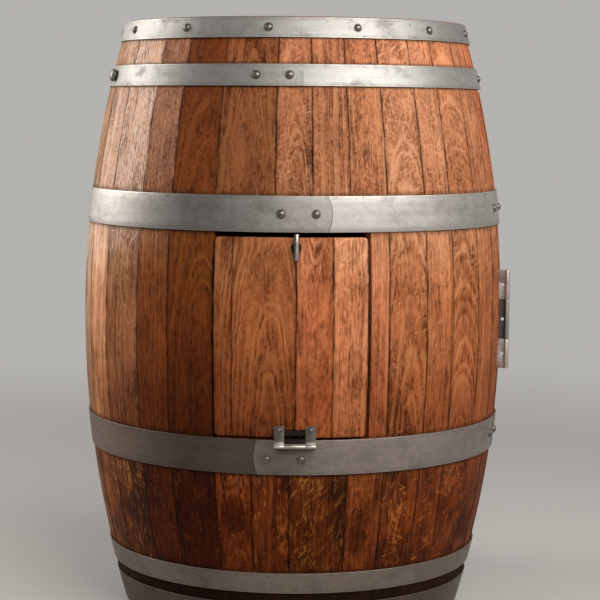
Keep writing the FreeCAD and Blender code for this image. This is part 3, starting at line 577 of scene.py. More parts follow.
def new_geometry_tree(name, sizes):
    """A geometry tree with a Geometry input, a Finish input and named sizes."""
    group = bpy.data.node_groups.new(name, "GeometryNodeTree")
    inputs = [("Geometry", "Geometry"), ("Finish", "Material"), *((label, "Float") for label in sizes)]
    for label, kind in inputs:
        group.interface.new_socket(label, in_out="INPUT", socket_type="NodeSocket" + kind)
    group.interface.new_socket("Geometry", in_out="OUTPUT", socket_type="NodeSocketGeometry")
    tree = Tree(group)
    return group, tree, tree.add("NodeGroupInput")


def end_geometry(tree, source, geometry):
    """Realized, in its finish, and out."""
    plain = tree.add("GeometryNodeRealizeInstances", [geometry])
    painted = {"Geometry": plain, "Material": source.part("Finish")}
    tree.add("NodeGroupOutput", [tree.add("GeometryNodeSetMaterial", painted)])


BEND_SIZES = {"Bilge radius": BILGE_RADIUS, "Head radius": HEAD_RADIUS, "Barrel height": BARREL_HEIGHT}


def bending_tree():
    """Bends flat work: x is the way round at the bilge, y the depth below the staves' faces, z the height."""
    group, tree, source = new_geometry_tree("bend_to_barrel", BEND_SIZES)
    bilge, head, tall = (source.part(label) for label in BEND_SIZES)
    bulge = bilge - head
    middle = tall * 0.5
    arc = (middle**2.0 + bulge**2.0) / (bulge * 2.0)
    way, depth, level = tree.split(tree.add("GeometryNodeInputPosition"))
    radius = ((arc - depth) ** 2.0 - (level - middle) ** 2.0) ** 0.5 - (arc - bilge)
    turn = way / bilge
    place = tree.joined(radius * turn.sine(), radius * turn.cosine() * -1.0, level)
    sockets = {"Geometry": source, "Position": place}
    end_geometry(tree, source, tree.add("GeometryNodeSetPosition", sockets))
    return group


HEAD_SIZES = ("Head radius", "Head height", "Collar radius", "Collar height", "Undercut")
HEAD_SEGMENTS = 24
HEAD_RINGS = 14


def fastener_tree():
    """Sets a domed head with a thin collar on every point, square to the point's facing."""
    group, tree, source = new_geometry_tree("fastener_heads", HEAD_SIZES)
    radius, height, collar_radius, collar_height, undercut = (source.part(label) for label in HEAD_SIZES)
    round_sizes = {"Segments": HEAD_SEGMENTS, "Rings": HEAD_RINGS, "Radius": 1.0}
    ball = tree.add("GeometryNodeMeshUVSphere", round_sizes)
    x, y, z = tree.split(tree.add("GeometryNodeInputPosition"))
    domed = tree.joined(x * radius, y * radius, z.at_least(undercut * -1.0) * height + collar_height)
    dome = tree.add("GeometryNodeSetPosition", {"Geometry": ball, "Position": domed})
    disc_sizes = {"Vertices": HEAD_SEGMENTS, "Radius": collar_radius, "Depth": collar_height}
    disc = tree.add("GeometryNodeMeshCylinder", disc_sizes)
    raised = tree.joined(0.0, 0.0, collar_height * 0.5)
    collar = tree.add("GeometryNodeSetPosition", {"Geometry": disc, "Offset": raised})
    head = tree.add("GeometryNodeJoinGeometry", [dome])
    tree.fill(head.socket.node.inputs[0], collar)
    facing = tree.add("GeometryNodeInputNamedAttribute", ["facing"], data_type="FLOAT_VECTOR")
    upright = tree.add("FunctionNodeAlignRotationToVector", {"Vector": facing}, axis="Z")
    sockets = {"Points": source, "Instance": head, "Rotation": upright}
    end_geometry(tree, source, tree.add("GeometryNodeInstanceOnPoints", sockets))
    return group


BEND = bending_tree()
HEADS = fastener_tree()


# Meshes and pieces


def in_scene(name, data):
    """A new object in the scene."""
    item = bpy.data.objects.new(name, data)
    bpy.context.scene.collection.objects.link(item)
    return item


def mesh_of(work, name):
    """The mesh of a bmesh, which is then done with."""
    mesh = bpy.data.meshes.new(name)
    work.to_mesh(mesh)
    work.free()
    return mesh


def evaluated_mesh(item):
    """The mesh of an object with its modifiers applied."""
    evaluated = item.evaluated_get(bpy.context.evaluated_depsgraph_get())
    return bpy.data.meshes.new_from_object(evaluated)


def through_tree(mesh, group, finish, sizes):
    """The plain mesh that a geometry tree makes of a mesh."""
    maker = in_scene("maker", mesh)
    modifier = maker.modifiers.new("tree", "NODES")
    modifier.node_group = group
    given = {"Finish": finish, **sizes}
    for item in group.interface.items_tree:
        if item.in_out == "INPUT" and item.name in given:
            modifier[item.identifier] = given[item.name]
    made = evaluated_mesh(maker)
    bpy.data.objects.remove(maker)
    return made


def together(meshes):
    """One mesh of several, with their attributes."""
    work = bmesh.new()
    for mesh in meshes:
        work.from_mesh(mesh)
    return mesh_of(work, "joined")


def bent(meshes, finish):
    return through_tree(together(meshes), BEND, finish, BEND_SIZES)


SMOOTH_ANGLE = math.radians(38.0)


def piece(name, mesh, finish, body, slot, *nodes):
    """A finished piece that rides on a body and stands for CAD nodes."""
    mesh.name = name
    mesh.materials.clear()
    mesh.materials.append(finish)
    mesh.shade_smooth()
    mesh.set_sharp_from_angle(angle=SMOOTH_ANGLE)
    item = in_scene(name, mesh)
    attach(item, body)
    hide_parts(*nodes)


def new_layers(work, names):
    """Attributes that the finishes read: a colour for each stain, and vectors."""
    layers = work.verts.layers
    return [(layers.float_color if "stain" in name else layers.float_vector).new(name) for name in names]


def mark(vert, layers, *values):
    for layer, value in zip(layers, values):
        vert[layer] = value


# Boards

Board = namedtuple("Board", "start end low high stain top heart fleck seed notch cracks round_sides")
OAK_LAYERS = ("flat", "heart", "traits", "stain", "top_stain")

STAINS = {
    "bleached": (0.580, 0.275, 0.145),
    "straw": (0.800, 0.315, 0.148),
    "tan": (0.460, 0.200, 0.095),
    "grey_brown": (0.410, 0.130, 0.049),
    "brown": (0.222, 0.064, 0.020),
    "umber": (0.275, 0.060, 0.012),
    "brown_umber": (0.200, 0.044, 0.009),
    "dark_umber": (0.190, 0.039, 0.006),
    "red_brown": (0.330, 0.088, 0.027),
    "russet": (0.425, 0.112, 0.039),
    "amber": (0.348, 0.100, 0.035),
    "pale_amber": (0.345, 0.115, 0.048),
    "orange": (0.388, 0.111, 0.043),
    "honey": (0.368, 0.126, 0.054),
    "warm_honey": (0.515, 0.163, 0.066),
    "smoky": (0.225, 0.064, 0.019),
    "pale_honey": (0.385, 0.143, 0.066),
    "silvered": (0.860, 0.470, 0.320),
    "rosy": (0.440, 0.172, 0.088),
}

# Where the tree's heart lies from the board's middle, how deep, and how it leans: the figure on the face
FIGURES = {
    "straight": (0.160, 0.020, 0.03),
    "straight_left": (-0.150, 0.030, 0.03),
    "arched": (0.004, 0.040, 0.120),
    "arched_right": (0.022, 0.032, 0.130),
    "arched_down": (0.002, 0.028, -0.120),
    "wide_arched": (-0.006, 0.070, 0.170),
    "cup": (0.006, 0.060, -0.150),
    "side_grain": (0.060, 0.030, 0.070),
    "high_arched": (0.002, -0.010, 0.110),
    "low_arched": (0.004, 0.072, 0.110),
}


def board(start, end, low, high, stain, figure, fleck, seed, top=None, notch=None, cracks=(), round_sides=()):
    """A board by its angles and levels, stained differently at the top if top is given.

    fleck is its share of flecks. round_sides has -1 or 1 where its left or right corners are round.
    """
    colours = (STAINS[stain], STAINS[top or stain])
    return Board(start, end, low, high, *colours, FIGURES[figure], fleck, seed, notch, cracks, round_sides)


def side_outline(low, high):
    """A board's edge as depth and height, with the barrel's chime and croze where it reaches an end."""
    outline = [(0.0, low), (0.0, high)]
    ends = ((CHIME_DEPTH, 0.0), (STAVE_THICKNESS, CHIME_BEVEL), (STAVE_THICKNESS, CROZE_NEAR),
            (CROZE_DEPTH, CROZE_NEAR), (CROZE_DEPTH, CROZE_FAR), (STAVE_THICKNESS, CROZE_FAR))
    if high == BARREL_HEIGHT:
        outline += [(depth, high - step) for depth, step in ends]
    else:
        outline.append((STAVE_THICKNESS, high))
    if low == 0.0:
        outline += [(depth, step) for depth, step in reversed(ends)]
    else:
        outline.append((STAVE_THICKNESS, low))
    return outline


def skinned(work, rings):
    """Closes rings of vertices to a solid, with faces between neighbours and at both ends."""
    size = len(rings[0])
    for one, two in zip(rings, rings[1:]):
        for index in range(size):
            following = (index + 1) % size
            work.faces.new((one[index], one[following], two[following], two[index]))
    work.faces.new(rings[0])
    work.faces.new(rings[-1])
    bmesh.ops.recalc_face_normals(work, faces=work.faces[:])
    return work


def prism(outline, left, right):
    """A bmesh of an outline in depth and height, drawn out from left to right."""
    work = bmesh.new()
    return skinned(work, [[work.verts.new((x, y, z)) for y, z in outline] for x in (left, right)])


def notched(work, sides, levels):
    """The board with a box cut out of it, by sides and levels."""
    low, high = levels
    front, rear = -NOTCH_OVERRUN, STAVE_THICKNESS + NOTCH_OVERRUN
    block = prism([(front, low), (front, high), (rear, high), (rear, low)], *sides)
    items = [in_scene("blank", mesh_of(source, "blank")) for source in (work, block)]
    cut = items[0].modifiers.new("cut", "BOOLEAN")
    cut.operation = "DIFFERENCE"
    cut.solver = "EXACT"
    cut.object = items[1]
    result = bmesh.new()
    result.from_mesh(evaluated_mesh(items[0]))
    bmesh.ops.remove_doubles(result, verts=result.verts[:], dist=TOUCH)
    for item in items:
        bpy.data.objects.remove(item)
    return result


def eased(work, width, steps, angle=30.0):
    """Rounds the sharp edges of a bmesh."""
    limit = math.radians(angle)
    sharp = [edge for edge in work.edges if edge.is_manifold and edge.calc_face_angle() > limit]
    bmesh.ops.bevel(work, geom=sharp, offset=width, segments=steps, profile=0.5,
                    affect="EDGES", clamp_overlap=True)


def sliced(work, axis, places):
    """Cuts lines square to an axis into the faces of a bmesh."""
    normal = Vector((0.0, 0.0, 0.0))
    normal[axis] = 1.0
    for place in places:
        geometry = work.verts[:] + work.edges[:] + work.faces[:]
        bmesh.ops.bisect_plane(work, geom=geometry, plane_co=normal * place, plane_no=normal, dist=TOUCH)


def steps_between(low, high, step):
    count = max(1, round((high - low) / step))
    return [low + (high - low) * index / count for index in range(1, count)]


def is_corner(edge, sides, levels):
    """Whether an edge runs through the board at one of its corners."""
    one, two = (vert.co for vert in edge.verts)
    level = abs(one.z - two.z) < TOUCH and min(abs(one.z - place) for place in levels) < TOUCH
    side = abs(one.x - two.x) < TOUCH and min(abs(one.x - place) for place in sides) < TOUCH
    return level and side


def flat_board(spec):
    """One flat board, rounded, sliced for bending and marked with what its finish reads."""
    left = along_bilge(spec.start) + JOINT_GAP / 2
    right = along_bilge(spec.end) - JOINT_GAP / 2
    work = prism(side_outline(spec.low, spec.high), left, right)
    if spec.notch:
        work = notched(work, *spec.notch)
    if spec.round_sides:
        sides = [left if side < 0 else right for side in spec.round_sides]
        corners = [edge for edge in work.edges if is_corner(edge, sides, (spec.low, spec.high))]
        bmesh.ops.bevel(work, geom=corners, offset=CORNER_RADIUS, segments=CORNER_STEPS, profile=0.5,
                        affect="EDGES")
    eased(work, STAVE_ROUNDING, ROUNDING_STEPS)
    cracks = [along_bilge(angle) for angle in spec.cracks]
    near_cracks = [place + side * CRACK_WIDTH for place in cracks for side in (-1, 0, 1)]
    near_sides = [left + EDGE_STRIP, right - EDGE_STRIP]
    near_ends = [spec.low + EDGE_STRIP, spec.high - EDGE_STRIP]
    sliced(work, 0, near_sides + near_cracks + steps_between(left, right, GRID_ACROSS))
    sliced(work, 2, near_ends + steps_between(spec.low, spec.high, GRID_ALONG))
    layers = new_layers(work, OAK_LAYERS)
    colours = [(*colour, 1.0) for colour in (spec.stain, spec.top)]
    middle = (left + right) / 2
    half = (right - left) / 2
    for vert in work.verts:
        x, y, z = vert.co
        edge = min(x - left, right - x)
        for place in cracks:
            edge = min(edge, abs(x - place) * 2.0)
            if abs(x - place) < 10 * TOUCH and y < EDGE_STRIP:
                vert.co.y += CRACK_DEPTH
        traits = (spec.seed, spec.fleck, max(edge, 0.0))
        mark(vert, layers, (x - middle, y, z), spec.heart, traits, *colours)
        sag = (half**2 - (x - middle) ** 2) / (2 * BILGE_RADIUS)
        vert.co.y += max(0.0, sag) * FACE_FLATTENING
    return mesh_of(work, "flat_board")


def board_piece(node, *boards, body="barrel", slot="stave_oak"):
    mesh = bent([flat_board(spec) for spec in boards], OAK)
    piece(node + "_wood", mesh, OAK, body, slot, node)


TALL = (0.0, BARREL_HEIGHT)
ABOVE_HATCH = (HATCH_LINTEL, BARREL_HEIGHT)
BELOW_HATCH = (0.0, HATCH_SILL)
HATCH = (HATCH_LOW, HATCH_HIGH)
ABOVE_SIDE = (SIDE_LINTEL, BARREL_HEIGHT)
BELOW_SIDE = (0.0, SIDE_SILL)
SIDE = (SIDE_LOW, SIDE_HIGH)
# The joint right of the short front staves, and an angle left of it from which the stave is notched
FRONT_JOINT = 14.8
NOTCH_FROM = 10.0
# The joint between the left flank's staves and the rear ones
LEFT_JOINT = -83.0

stave_notch = ((along_bilge(NOTCH_FROM), along_bilge(HATCH_RIGHT)), (HATCH_SILL, HATCH_LINTEL))
hatch_notch = (HATCH_NOTCH_SIDES, (HATCH_LOW - NOTCH_OVERRUN, HATCH_NOTCH_TOP))

# Painted sheen from the left: partly in the pale stains of staves 15 and 16, wholly in the pale tops of 16
# and 17. The umber stains of staves 18 and 19 partly paint shade
FRONT_STAVES = (
    ("stave_01", FRONT_JOINT, 25.0, "orange", "straight", 0.35, 1.3, "honey", stave_notch),
    ("stave_02", 25.0, 36.5, "amber", "arched", 0.95, 2.1, "pale_honey"),
    ("stave_03", 36.5, 45.8, "amber", "straight_left", 0.60, 3.7, "pale_honey"),
    ("stave_04", 45.8, 57.7, "amber", "wide_arched", 0.65, 4.2, "honey"),
    ("stave_05", 57.7, 67.8, "amber", "straight", 0.50, 5.9, "honey"),
    ("stave_06", 67.8, SIDE_FRAME, "amber", "side_grain", 0.40, 6.4, "orange"),
    ("stave_15", LEFT_JOINT, -70.5, "bleached", "straight", 0.40, 7.7),
    ("stave_16", -70.5, -58.5, "straw", "side_grain", 0.50, 8.3, "silvered"),
    ("stave_17", -58.5, -44.3, "grey_brown", "straight", 1.35, 9.6, "silvered"),
    ("stave_18", -44.3, -33.8, "umber", "straight_left", 0.55, 10.2, "rosy"),
    ("stave_19", -33.8, HATCH_LEFT, "dark_umber", "arched_right", 0.70, 11.8, "brown_umber"),
)
for node, start, end, *look in FRONT_STAVES:
    board_piece(node, board(start, end, *TALL, *look))

rng = random.Random(RANDOM_SEED)
REAR_STAVES = 8
REAR_FIRST = 7
REAR_STEP = (LEFT_JOINT + FULL_TURN - SIDE_FREE) / REAR_STAVES
REAR_STAINS = ("brown", "red_brown", "amber", "orange", "tan")
REAR_FLECKS = (0.2, 0.8)
REAR_SEEDS = (20.0, 40.0)
for number in range(REAR_STAVES):
    start = SIDE_FREE + number * REAR_STEP
    look = (rng.choice(REAR_STAINS), rng.choice(tuple(FIGURES)))
    spec = board(start, start + REAR_STEP, *TALL, *look, rng.uniform(*REAR_FLECKS), rng.uniform(*REAR_SEEDS))
    board_piece(f"stave_{number + REAR_FIRST:02d}", spec)

UPPER_STAVES = (
    (HATCH_LEFT, -4.9, "brown", "high_arched", 1.00, 12.4),
    (-4.9, 4.8, "pale_amber", "high_arched", 1.00, 13.1),
    (4.8, FRONT_JOINT, "pale_amber", "straight", 0.60, 14.9),
)
LOWER_STAVES = (
    (HATCH_LEFT, -10.9, "russet", "low_arched", 0.60, 15.2),
    (-10.9, -0.9, "red_brown", "straight", 0.90, 16.6),
    (-0.9, FRONT_JOINT, "smoky", "side_grain", 1.00, 17.3),
)
for node, levels, rows in (
    ("front_upper_staves", ABOVE_HATCH, UPPER_STAVES),
    ("front_lower_staves", BELOW_HATCH, LOWER_STAVES),
):
    board_piece(node, *(board(start, end, *levels, *look) for start, end, *look in rows))

SIDE_LOOKS = (
    ("amber", "straight", 0.4),
    ("red_brown", "arched", 0.5),
    ("orange", "straight_left", 0.6),
    ("brown", "cup", 0.4),
)
SIDE_COUNT = len(SIDE_LOOKS)
SIDE_JOINTS = [SIDE_FROM + (SIDE_TO - SIDE_FROM) * step / SIDE_COUNT for step in range(SIDE_COUNT + 1)]
STUB_JOINTS = [SIDE_FRAME, *SIDE_JOINTS[1:-1], SIDE_FREE]
SIDE_SEED_STEP = 1.7


def side_boards(joints, levels, first_seed):
    """The four boards beside each other on the right flank."""
    spans = zip(joints, joints[1:], SIDE_LOOKS)
    return [board(start, end, *levels, *look, first_seed + number * SIDE_SEED_STEP)
            for number, (start, end, look) in enumerate(spans)]


board_piece("side_upper_staves", *side_boards(STUB_JOINTS, ABOVE_SIDE, 41.0))
board_piece("side_lower_staves", *side_boards(STUB_JOINTS, BELOW_SIDE, 51.0))
HATCH_LOOKS = (
    ("red_brown", "arched_right", 0.70, 18.5, None, hatch_notch, (-15.7,), (-1,)),
    ("russet", "arched_down", 0.55, 19.4, None, hatch_notch),
    ("warm_honey", "straight", 0.85, 20.8, None, None, (), (1,)),
)
hatch_spans = zip(HATCH_JOINTS, HATCH_JOINTS[1:], HATCH_LOOKS)
hatch_boards = [board(start, end, *HATCH, *look) for start, end, look in hatch_spans]
for body, boards in (("side_door", side_boards(SIDE_JOINTS, SIDE, 61.0)), ("front_door", hatch_boards)):
    for number, spec in enumerate(boards, start=1):
        board_piece(f"{body}_board_{number}", spec, body=body, slot="door_oak")


# Hoops

# Zinc tones; the darker tones of the bilge hoops' left strips and of the lower hoops partly paint shade
ZINC_STAINS = {
    "bright": (0.396, 0.386, 0.368),
    "grey": (0.478, 0.456, 0.436),
    "dim": (0.360, 0.341, 0.322),
    "shaded_deep": (0.155, 0.120, 0.098),
    "wear_and_light": (0.312, 0.268, 0.250),
    "dull": (0.250, 0.210, 0.180),
    "dark": (0.135, 0.106, 0.086),
}
HOOP_LAYERS = ("flat", "traits", "stain")
OTHER_STRIP_SEED = 0.8
# Angle and spread of the painted shade left of the front
FRONT_SHADE_AT = (-27.0, 13.0)
# Angle and spread of the left flank, with a painted highlight on the top chime and bilge hoops and painted
# shade on the lowest two
FLANK_AT = (-63.0, 15.0)
# Angle and spread of the painted shade round the lap of the lower bilge hoop
LAP_SHADE_AT = (-3.0, 8.0)


def zinc_light_and_shade(angle, wear_and_light):
    """Shade of the zinc at an angle round the barrel.

    The last argument gives the changes of painted light and shade: left of the front, on the flank and at the
    lap.
    """
    turn = (angle + FULL_TURN / 2) % FULL_TURN - FULL_TURN / 2
    shade = 1.0
    for change, (middle, spread) in zip(wear_and_light, (FRONT_SHADE_AT, FLANK_AT, LAP_SHADE_AT)):
        shade += change * math.exp(-(((turn - middle) / spread) ** 2))
    return shade


def strip_outline(low, high):
    """A strip's section as depth below its face and height; None stands for the depth of its back."""
    rounding = []
    for step in range(HOOP_ROUNDING_STEPS + 1):
        turn = math.pi / 2 * step / HOOP_ROUNDING_STEPS
        rounding.append((HOOP_ROUNDING * (1 - math.cos(turn)), HOOP_ROUNDING * (1 - math.sin(turn))))
    flat_width = high - low - 2 * HOOP_ROUNDING
    rows = [low + HOOP_ROUNDING + flat_width * row / HOOP_ROWS for row in range(1, HOOP_ROWS)]
    outline = [(depth, low + step) for depth, step in reversed(rounding)]
    outline += [(0.0, level) for level in rows]
    outline += [(depth, high - step) for depth, step in rounding]
    return outline + [(None, high), (None, low)]


def strip(levels, start, end, stain, seed, lift=None, bulge=(0.0, 0.0), wear_and_light=()):
    """A flat hoop strip between two angles.

    lift gives how far it is raised, bulge how far its ends are rounded and the last argument the painted
    light and shade round it.
    """
    low, high = levels
    work = bmesh.new()
    layers = new_layers(work, HOOP_LAYERS)
    outline = strip_outline(low, high)
    rings = []
    for angle in (start, start + LAP_LINE, *steps_between(start, end, HOOP_STEP), end - LAP_LINE, end):
        raised = lift(angle) if lift else 0.0
        face = -HOOP_OUT - raised * LAP_HEIGHT
        rear = -HOOP_IN - raised * (HOOP_OUT - HOOP_IN + LAP_GAP)
        shade = zinc_light_and_shade(angle, wear_and_light)
        zinc = (*(shade * part for part in ZINC_STAINS[stain]), 1.0)
        # Painted shade of the lap's step at the strip's rounded outer end
        lap_end_shade = float((angle == start and bulge[0] > 0) or (angle == end and bulge[1] > 0))
        ring = []
        for depth, level in outline:
            across = (level - low) / (high - low) * 2 - 1
            x = along_bilge(angle)
            if angle <= start + LAP_LINE:
                x -= bulge[0] * (1 - across**2)
            if angle >= end - LAP_LINE:
                x += bulge[1] * (1 - across**2)
            y = rear if depth is None else face + depth
            vert = work.verts.new((x, y, level))
            traits = (seed, lap_end_shade, min(level - low, high - level))
            mark(vert, layers, (x, y, level - (low + high) / 2), traits, zinc)
            ring.append(vert)
        rings.append(ring)
    return mesh_of(skinned(work, rings), "strip")


def ramp_up(angle, start):
    """How far a strip has climbed onto the strip under it."""
    share = min(1.0, max(0.0, (angle - start) / LAP_RAMP))
    return share * share * (3 - 2 * share)


def hoop_piece(node, body, *strips):
    piece(node + "_steel", bent(strips, HOOP_STEEL), HOOP_STEEL, body, "hoop_steel", node)


def closed_hoop(node, levels, stain, seed, lap, bulge, wear_and_light):
    """A hoop that laps over itself: its outer end lies at an angle, over a cover of its other end."""
    climb = lap - LAP_COVER
    over = strip(levels, climb, lap + FULL_TURN, stain, seed,
                 lambda angle: ramp_up(angle, climb + FULL_TURN - LAP_RAMP), (0.0, bulge), wear_and_light)
    hoop_piece(node, "barrel", over)


def door_hoop(node, levels, left_stain, right_stain, seed, lap, bulge, from_left, wear_and_light):
    """A hoop of two strips that stop at the side door's edges and lap in front."""
    left_start, right_end = SIDE_FREE - FULL_TURN, SIDE_FRAME
    over_seed = seed + OTHER_STRIP_SEED
    if from_left:
        under = strip(levels, lap - LAP_COVER, right_end, right_stain, seed, wear_and_light=wear_and_light)
        over = strip(levels, left_start, lap, left_stain, over_seed,
                     lambda angle: ramp_up(angle, lap - LAP_COVER - LAP_RAMP), (0.0, bulge), wear_and_light)
    else:
        under = strip(levels, left_start, lap + LAP_COVER, left_stain, seed, wear_and_light=wear_and_light)
        over = strip(levels, lap, right_end, right_stain, over_seed,
                     lambda angle: ramp_up(-angle, -lap - LAP_COVER - LAP_RAMP), (bulge, 0.0), wear_and_light)
    hoop_piece(node, "barrel", under, over)


# Each hoop's last numbers paint light and shade round it: left of the front, on the left flank and at the lap
closed_hoop("top_chime_hoop", TOP_CHIME, "bright", 2.3, 180.0, 0.003, (-0.20, 0.20))
closed_hoop("top_quarter_hoop", TOP_QUARTER, "bright", 4.6, 2.4, 0.0, (-0.26, 0.0))
door_hoop("upper_bilge_hoop", TOP_BILGE, "dim", "grey", 6.1, 8.7, 0.007, True, (-0.34, 1.0))
door_hoop("lower_bilge_hoop", LOW_BILGE, "shaded_deep", "wear_and_light", 8.4, -9.1, 0.006, False, (-0.34, 0.45, -0.42))
closed_hoop("bottom_quarter_hoop", LOW_QUARTER, "dull", 10.7, 188.0, 0.003, (-0.30, -0.15))
closed_hoop("bottom_chime_hoop", LOW_CHIME, "dark", 12.9, 188.0, 0.003, (-0.30, -0.15))
hoop_piece("side_door_upper_hoop", "side_door", strip(TOP_BILGE, SIDE_FROM, SIDE_TO, "grey", 14.2))
hoop_piece("side_door_lower_hoop", "side_door", strip(LOW_BILGE, SIDE_FROM, SIDE_TO, "wear_and_light", 16.5))


# Fasteners

Seat = namedtuple("Seat", "point facing")
FORWARD = Vector((0.0, -1.0, 0.0))
UPWARD = Vector((0.0, 0.0, 1.0))

# Heads by radius and height
RIVET = (0.0060, 0.0042)
HOOP_SCREW = (0.0058, 0.0042)
KNOB = (0.0105, 0.0100)
SMALL_SCREW = (0.0036, 0.0022)
FLUSH_SCREW = (0.0044, 0.00015)
KNOB_NECK = {"collar": 0.60, "collar_height": 0.0042, "undercut": 0.66}
FLUSH_COLLAR = {"collar": 0.9, "collar_height": 0.00005}


def wall_seat(angle, level, offset, inwards=False):
    """A place square on an arc beside the barrel's outline."""
    radius = ARC_RADIUS + offset
    lean = math.asin((level - MID_HEIGHT) / radius)
    turn = math.radians(angle)
    outward = Vector((math.sin(turn), -math.cos(turn), 0.0))
    facing = outward * math.cos(lean) + Vector((0.0, 0.0, math.sin(lean)))
    point = outward * (radius * math.cos(lean) - ARC_OFFSET) + Vector((0.0, 0.0, level))
    return Seat(point, -facing if inwards else facing)


def hoop_seat(levels, angle, share=0.5, lift=0.0):
    return wall_seat(angle, levels[0] + share * (levels[1] - levels[0]), HOOP_OUT + lift)


def heads(seats, size, collar=1.22, collar_height=0.0004, undercut=0.0):
    """Domed heads on their seats, by radius and height; an undercut head is a knob on a neck."""
    mesh = bpy.data.meshes.new("seats")
    mesh.from_pydata([seat.point for seat in seats], [], [])
    facing = mesh.attributes.new("facing", "FLOAT_VECTOR", "POINT")
    facing.data.foreach_set("vector", [part for seat in seats for part in seat.facing])
    radius, height = size
    measures = (radius, height - collar_height, radius * collar, collar_height, undercut)
    return through_tree(mesh, HEADS, SCREW_STEEL, dict(zip(HEAD_SIZES, measures)))


def fastener_piece(node, body, *groups):
    piece(node + "_heads", together(groups), SCREW_STEEL, body, "fastener_steel", node)


# Rivets of the laps, by hoop, share of its width and angles
RIVETS = (
    (TOP_CHIME, 0.5, (168.0, 176.0)),
    (TOP_QUARTER, 0.5, (-11.2, -1.6)),
    (TOP_BILGE, 0.5, (-3.3, 5.6)),
    (LOW_BILGE, 0.44, (-6.6, 2.3)),
    (LOW_QUARTER, 0.5, (176.0, 184.0)),
    (LOW_CHIME, 0.5, (176.0, 184.0)),
)
rivets = [hoop_seat(levels, angle, share, LAP_HEIGHT) for levels, share, angles in RIVETS for angle in angles]
fastener_piece("hoop_rivets", "barrel", heads(rivets, RIVET))

TOP_SCREW_COUNT = 13
TOP_SCREW_FIRST = -8.3
QUARTER_SCREW = 79.0
DOOR_SIDE_SCREWS = (72.5, 140.0)
KNOB_ANGLE = -72.0
DOOR_BOLT_INSET = round_bilge(0.022)
CUT_HOOPS = (TOP_BILGE, LOW_BILGE)
top_angles = [TOP_SCREW_FIRST + FULL_TURN * step / TOP_SCREW_COUNT for step in range(TOP_SCREW_COUNT)]
hoop_screws = [hoop_seat(TOP_CHIME, angle) for angle in top_angles]
hoop_screws.append(hoop_seat(TOP_QUARTER, QUARTER_SCREW))
hoop_screws += [hoop_seat(levels, angle) for levels in CUT_HOOPS for angle in DOOR_SIDE_SCREWS]
round_knob = heads([hoop_seat(TOP_QUARTER, KNOB_ANGLE)], KNOB, **KNOB_NECK)
fastener_piece("hoop_screws", "barrel", heads(hoop_screws, HOOP_SCREW), round_knob)

bolt_angles = (SIDE_FROM + DOOR_BOLT_INSET, SIDE_TO - DOOR_BOLT_INSET)
bolts = [hoop_seat(levels, angle) for levels in CUT_HOOPS for angle in bolt_angles]
fastener_piece("side_door_bolts", "side_door", heads(bolts, HOOP_SCREW))

BATTEN_GAP = 0.0002
BATTEN_THICKNESS = 0.020
BATTEN_FACE = -STAVE_THICKNESS - BATTEN_GAP - BATTEN_THICKNESS
HATCH_BATTEN_LEVELS = (0.365, 0.576)
SIDE_BATTEN_LEVELS = (0.1895, 0.7605)
LEG_SCREWS = ((-0.01975, -0.34281, 0.332), (0.02775, -0.34281, 0.332))
FLANGE_SCREWS = ((-0.0037, -0.32481, 0.3192), (0.0117, -0.32481, 0.3192))
PULL_ANGLE = math.degrees(math.asin(FRONT_MIDDLE / BILGE_RADIUS))
PULL_LEVEL = 0.606


def batten_seats(edges, levels):
    middles = [(one + two) / 2 for one, two in zip(edges, edges[1:])]
    return [wall_seat(angle, level, BATTEN_FACE, True) for angle in middles for level in levels]


hatch_seats = [Seat(Vector(place), FORWARD) for place in LEG_SCREWS]
hatch_seats += batten_seats(HATCH_JOINTS, HATCH_BATTEN_LEVELS)
hatch_seats.append(wall_seat(PULL_ANGLE, PULL_LEVEL, -STAVE_THICKNESS, True))
fastener_piece("front_door_screws", "front_door", heads(hatch_seats, SMALL_SCREW))

SIDE_HINGE_TURN = math.radians(76.0)
SIDE_HINGE_OUT = Vector((math.sin(SIDE_HINGE_TURN), -math.cos(SIDE_HINGE_TURN), 0.0))
SIDE_HINGE_ALONG = Vector((math.cos(SIDE_HINGE_TURN), math.sin(SIDE_HINGE_TURN), 0.0))
LEAF_SCREW_RADIUS = 0.331
LEAF_SCREW_LEVELS = (0.420, 0.475, 0.530)
LEAF_FACE = 0.0002


def leaf_heads(side):
    """Flush screws of a large leaf; side is -1 on the frame's leaf and 1 on the door's."""
    foot = SIDE_HINGE_OUT * LEAF_SCREW_RADIUS + SIDE_HINGE_ALONG * (side * LEAF_FACE)
    facing = SIDE_HINGE_ALONG * -side
    seats = [Seat(foot + Vector((0.0, 0.0, level)), facing) for level in LEAF_SCREW_LEVELS]
    return heads(seats, FLUSH_SCREW, **FLUSH_COLLAR)


flange_seats = [Seat(Vector(place), UPWARD) for place in FLANGE_SCREWS]
side_seats = batten_seats(SIDE_JOINTS, SIDE_BATTEN_LEVELS)
fastener_piece("frame_hinge_screws", "barrel", heads(flange_seats, SMALL_SCREW), leaf_heads(-1))
fastener_piece("side_door_screws", "side_door", heads(side_seats, SMALL_SCREW), leaf_heads(1))


# Pieces that keep the shape of their CAD node, with eased edges

FLAT_ANGLE = math.radians(1.0)
FITTING_ROUNDING_STEPS = 2
FITTING_SHARP_ANGLE = 40.0
INNER_ROUNDING = 0.0012
INNER_SHADE = 0.80
INNER_SHADE_SPREAD = 0.42
INNER_FLECK = 0.3
INNER_SEED_STEP = 1.9


def eased_copy(node, width):
    """A bmesh of a node with its edges rounded."""
    work = bmesh.new()
    work.from_mesh(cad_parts[node].data)
    bmesh.ops.remove_doubles(work, verts=work.verts[:], dist=TOUCH)
    bmesh.ops.dissolve_limit(work, angle_limit=FLAT_ANGLE, verts=work.verts[:], edges=work.edges[:])
    eased(work, width, FITTING_ROUNDING_STEPS, FITTING_SHARP_ANGLE)
    return work


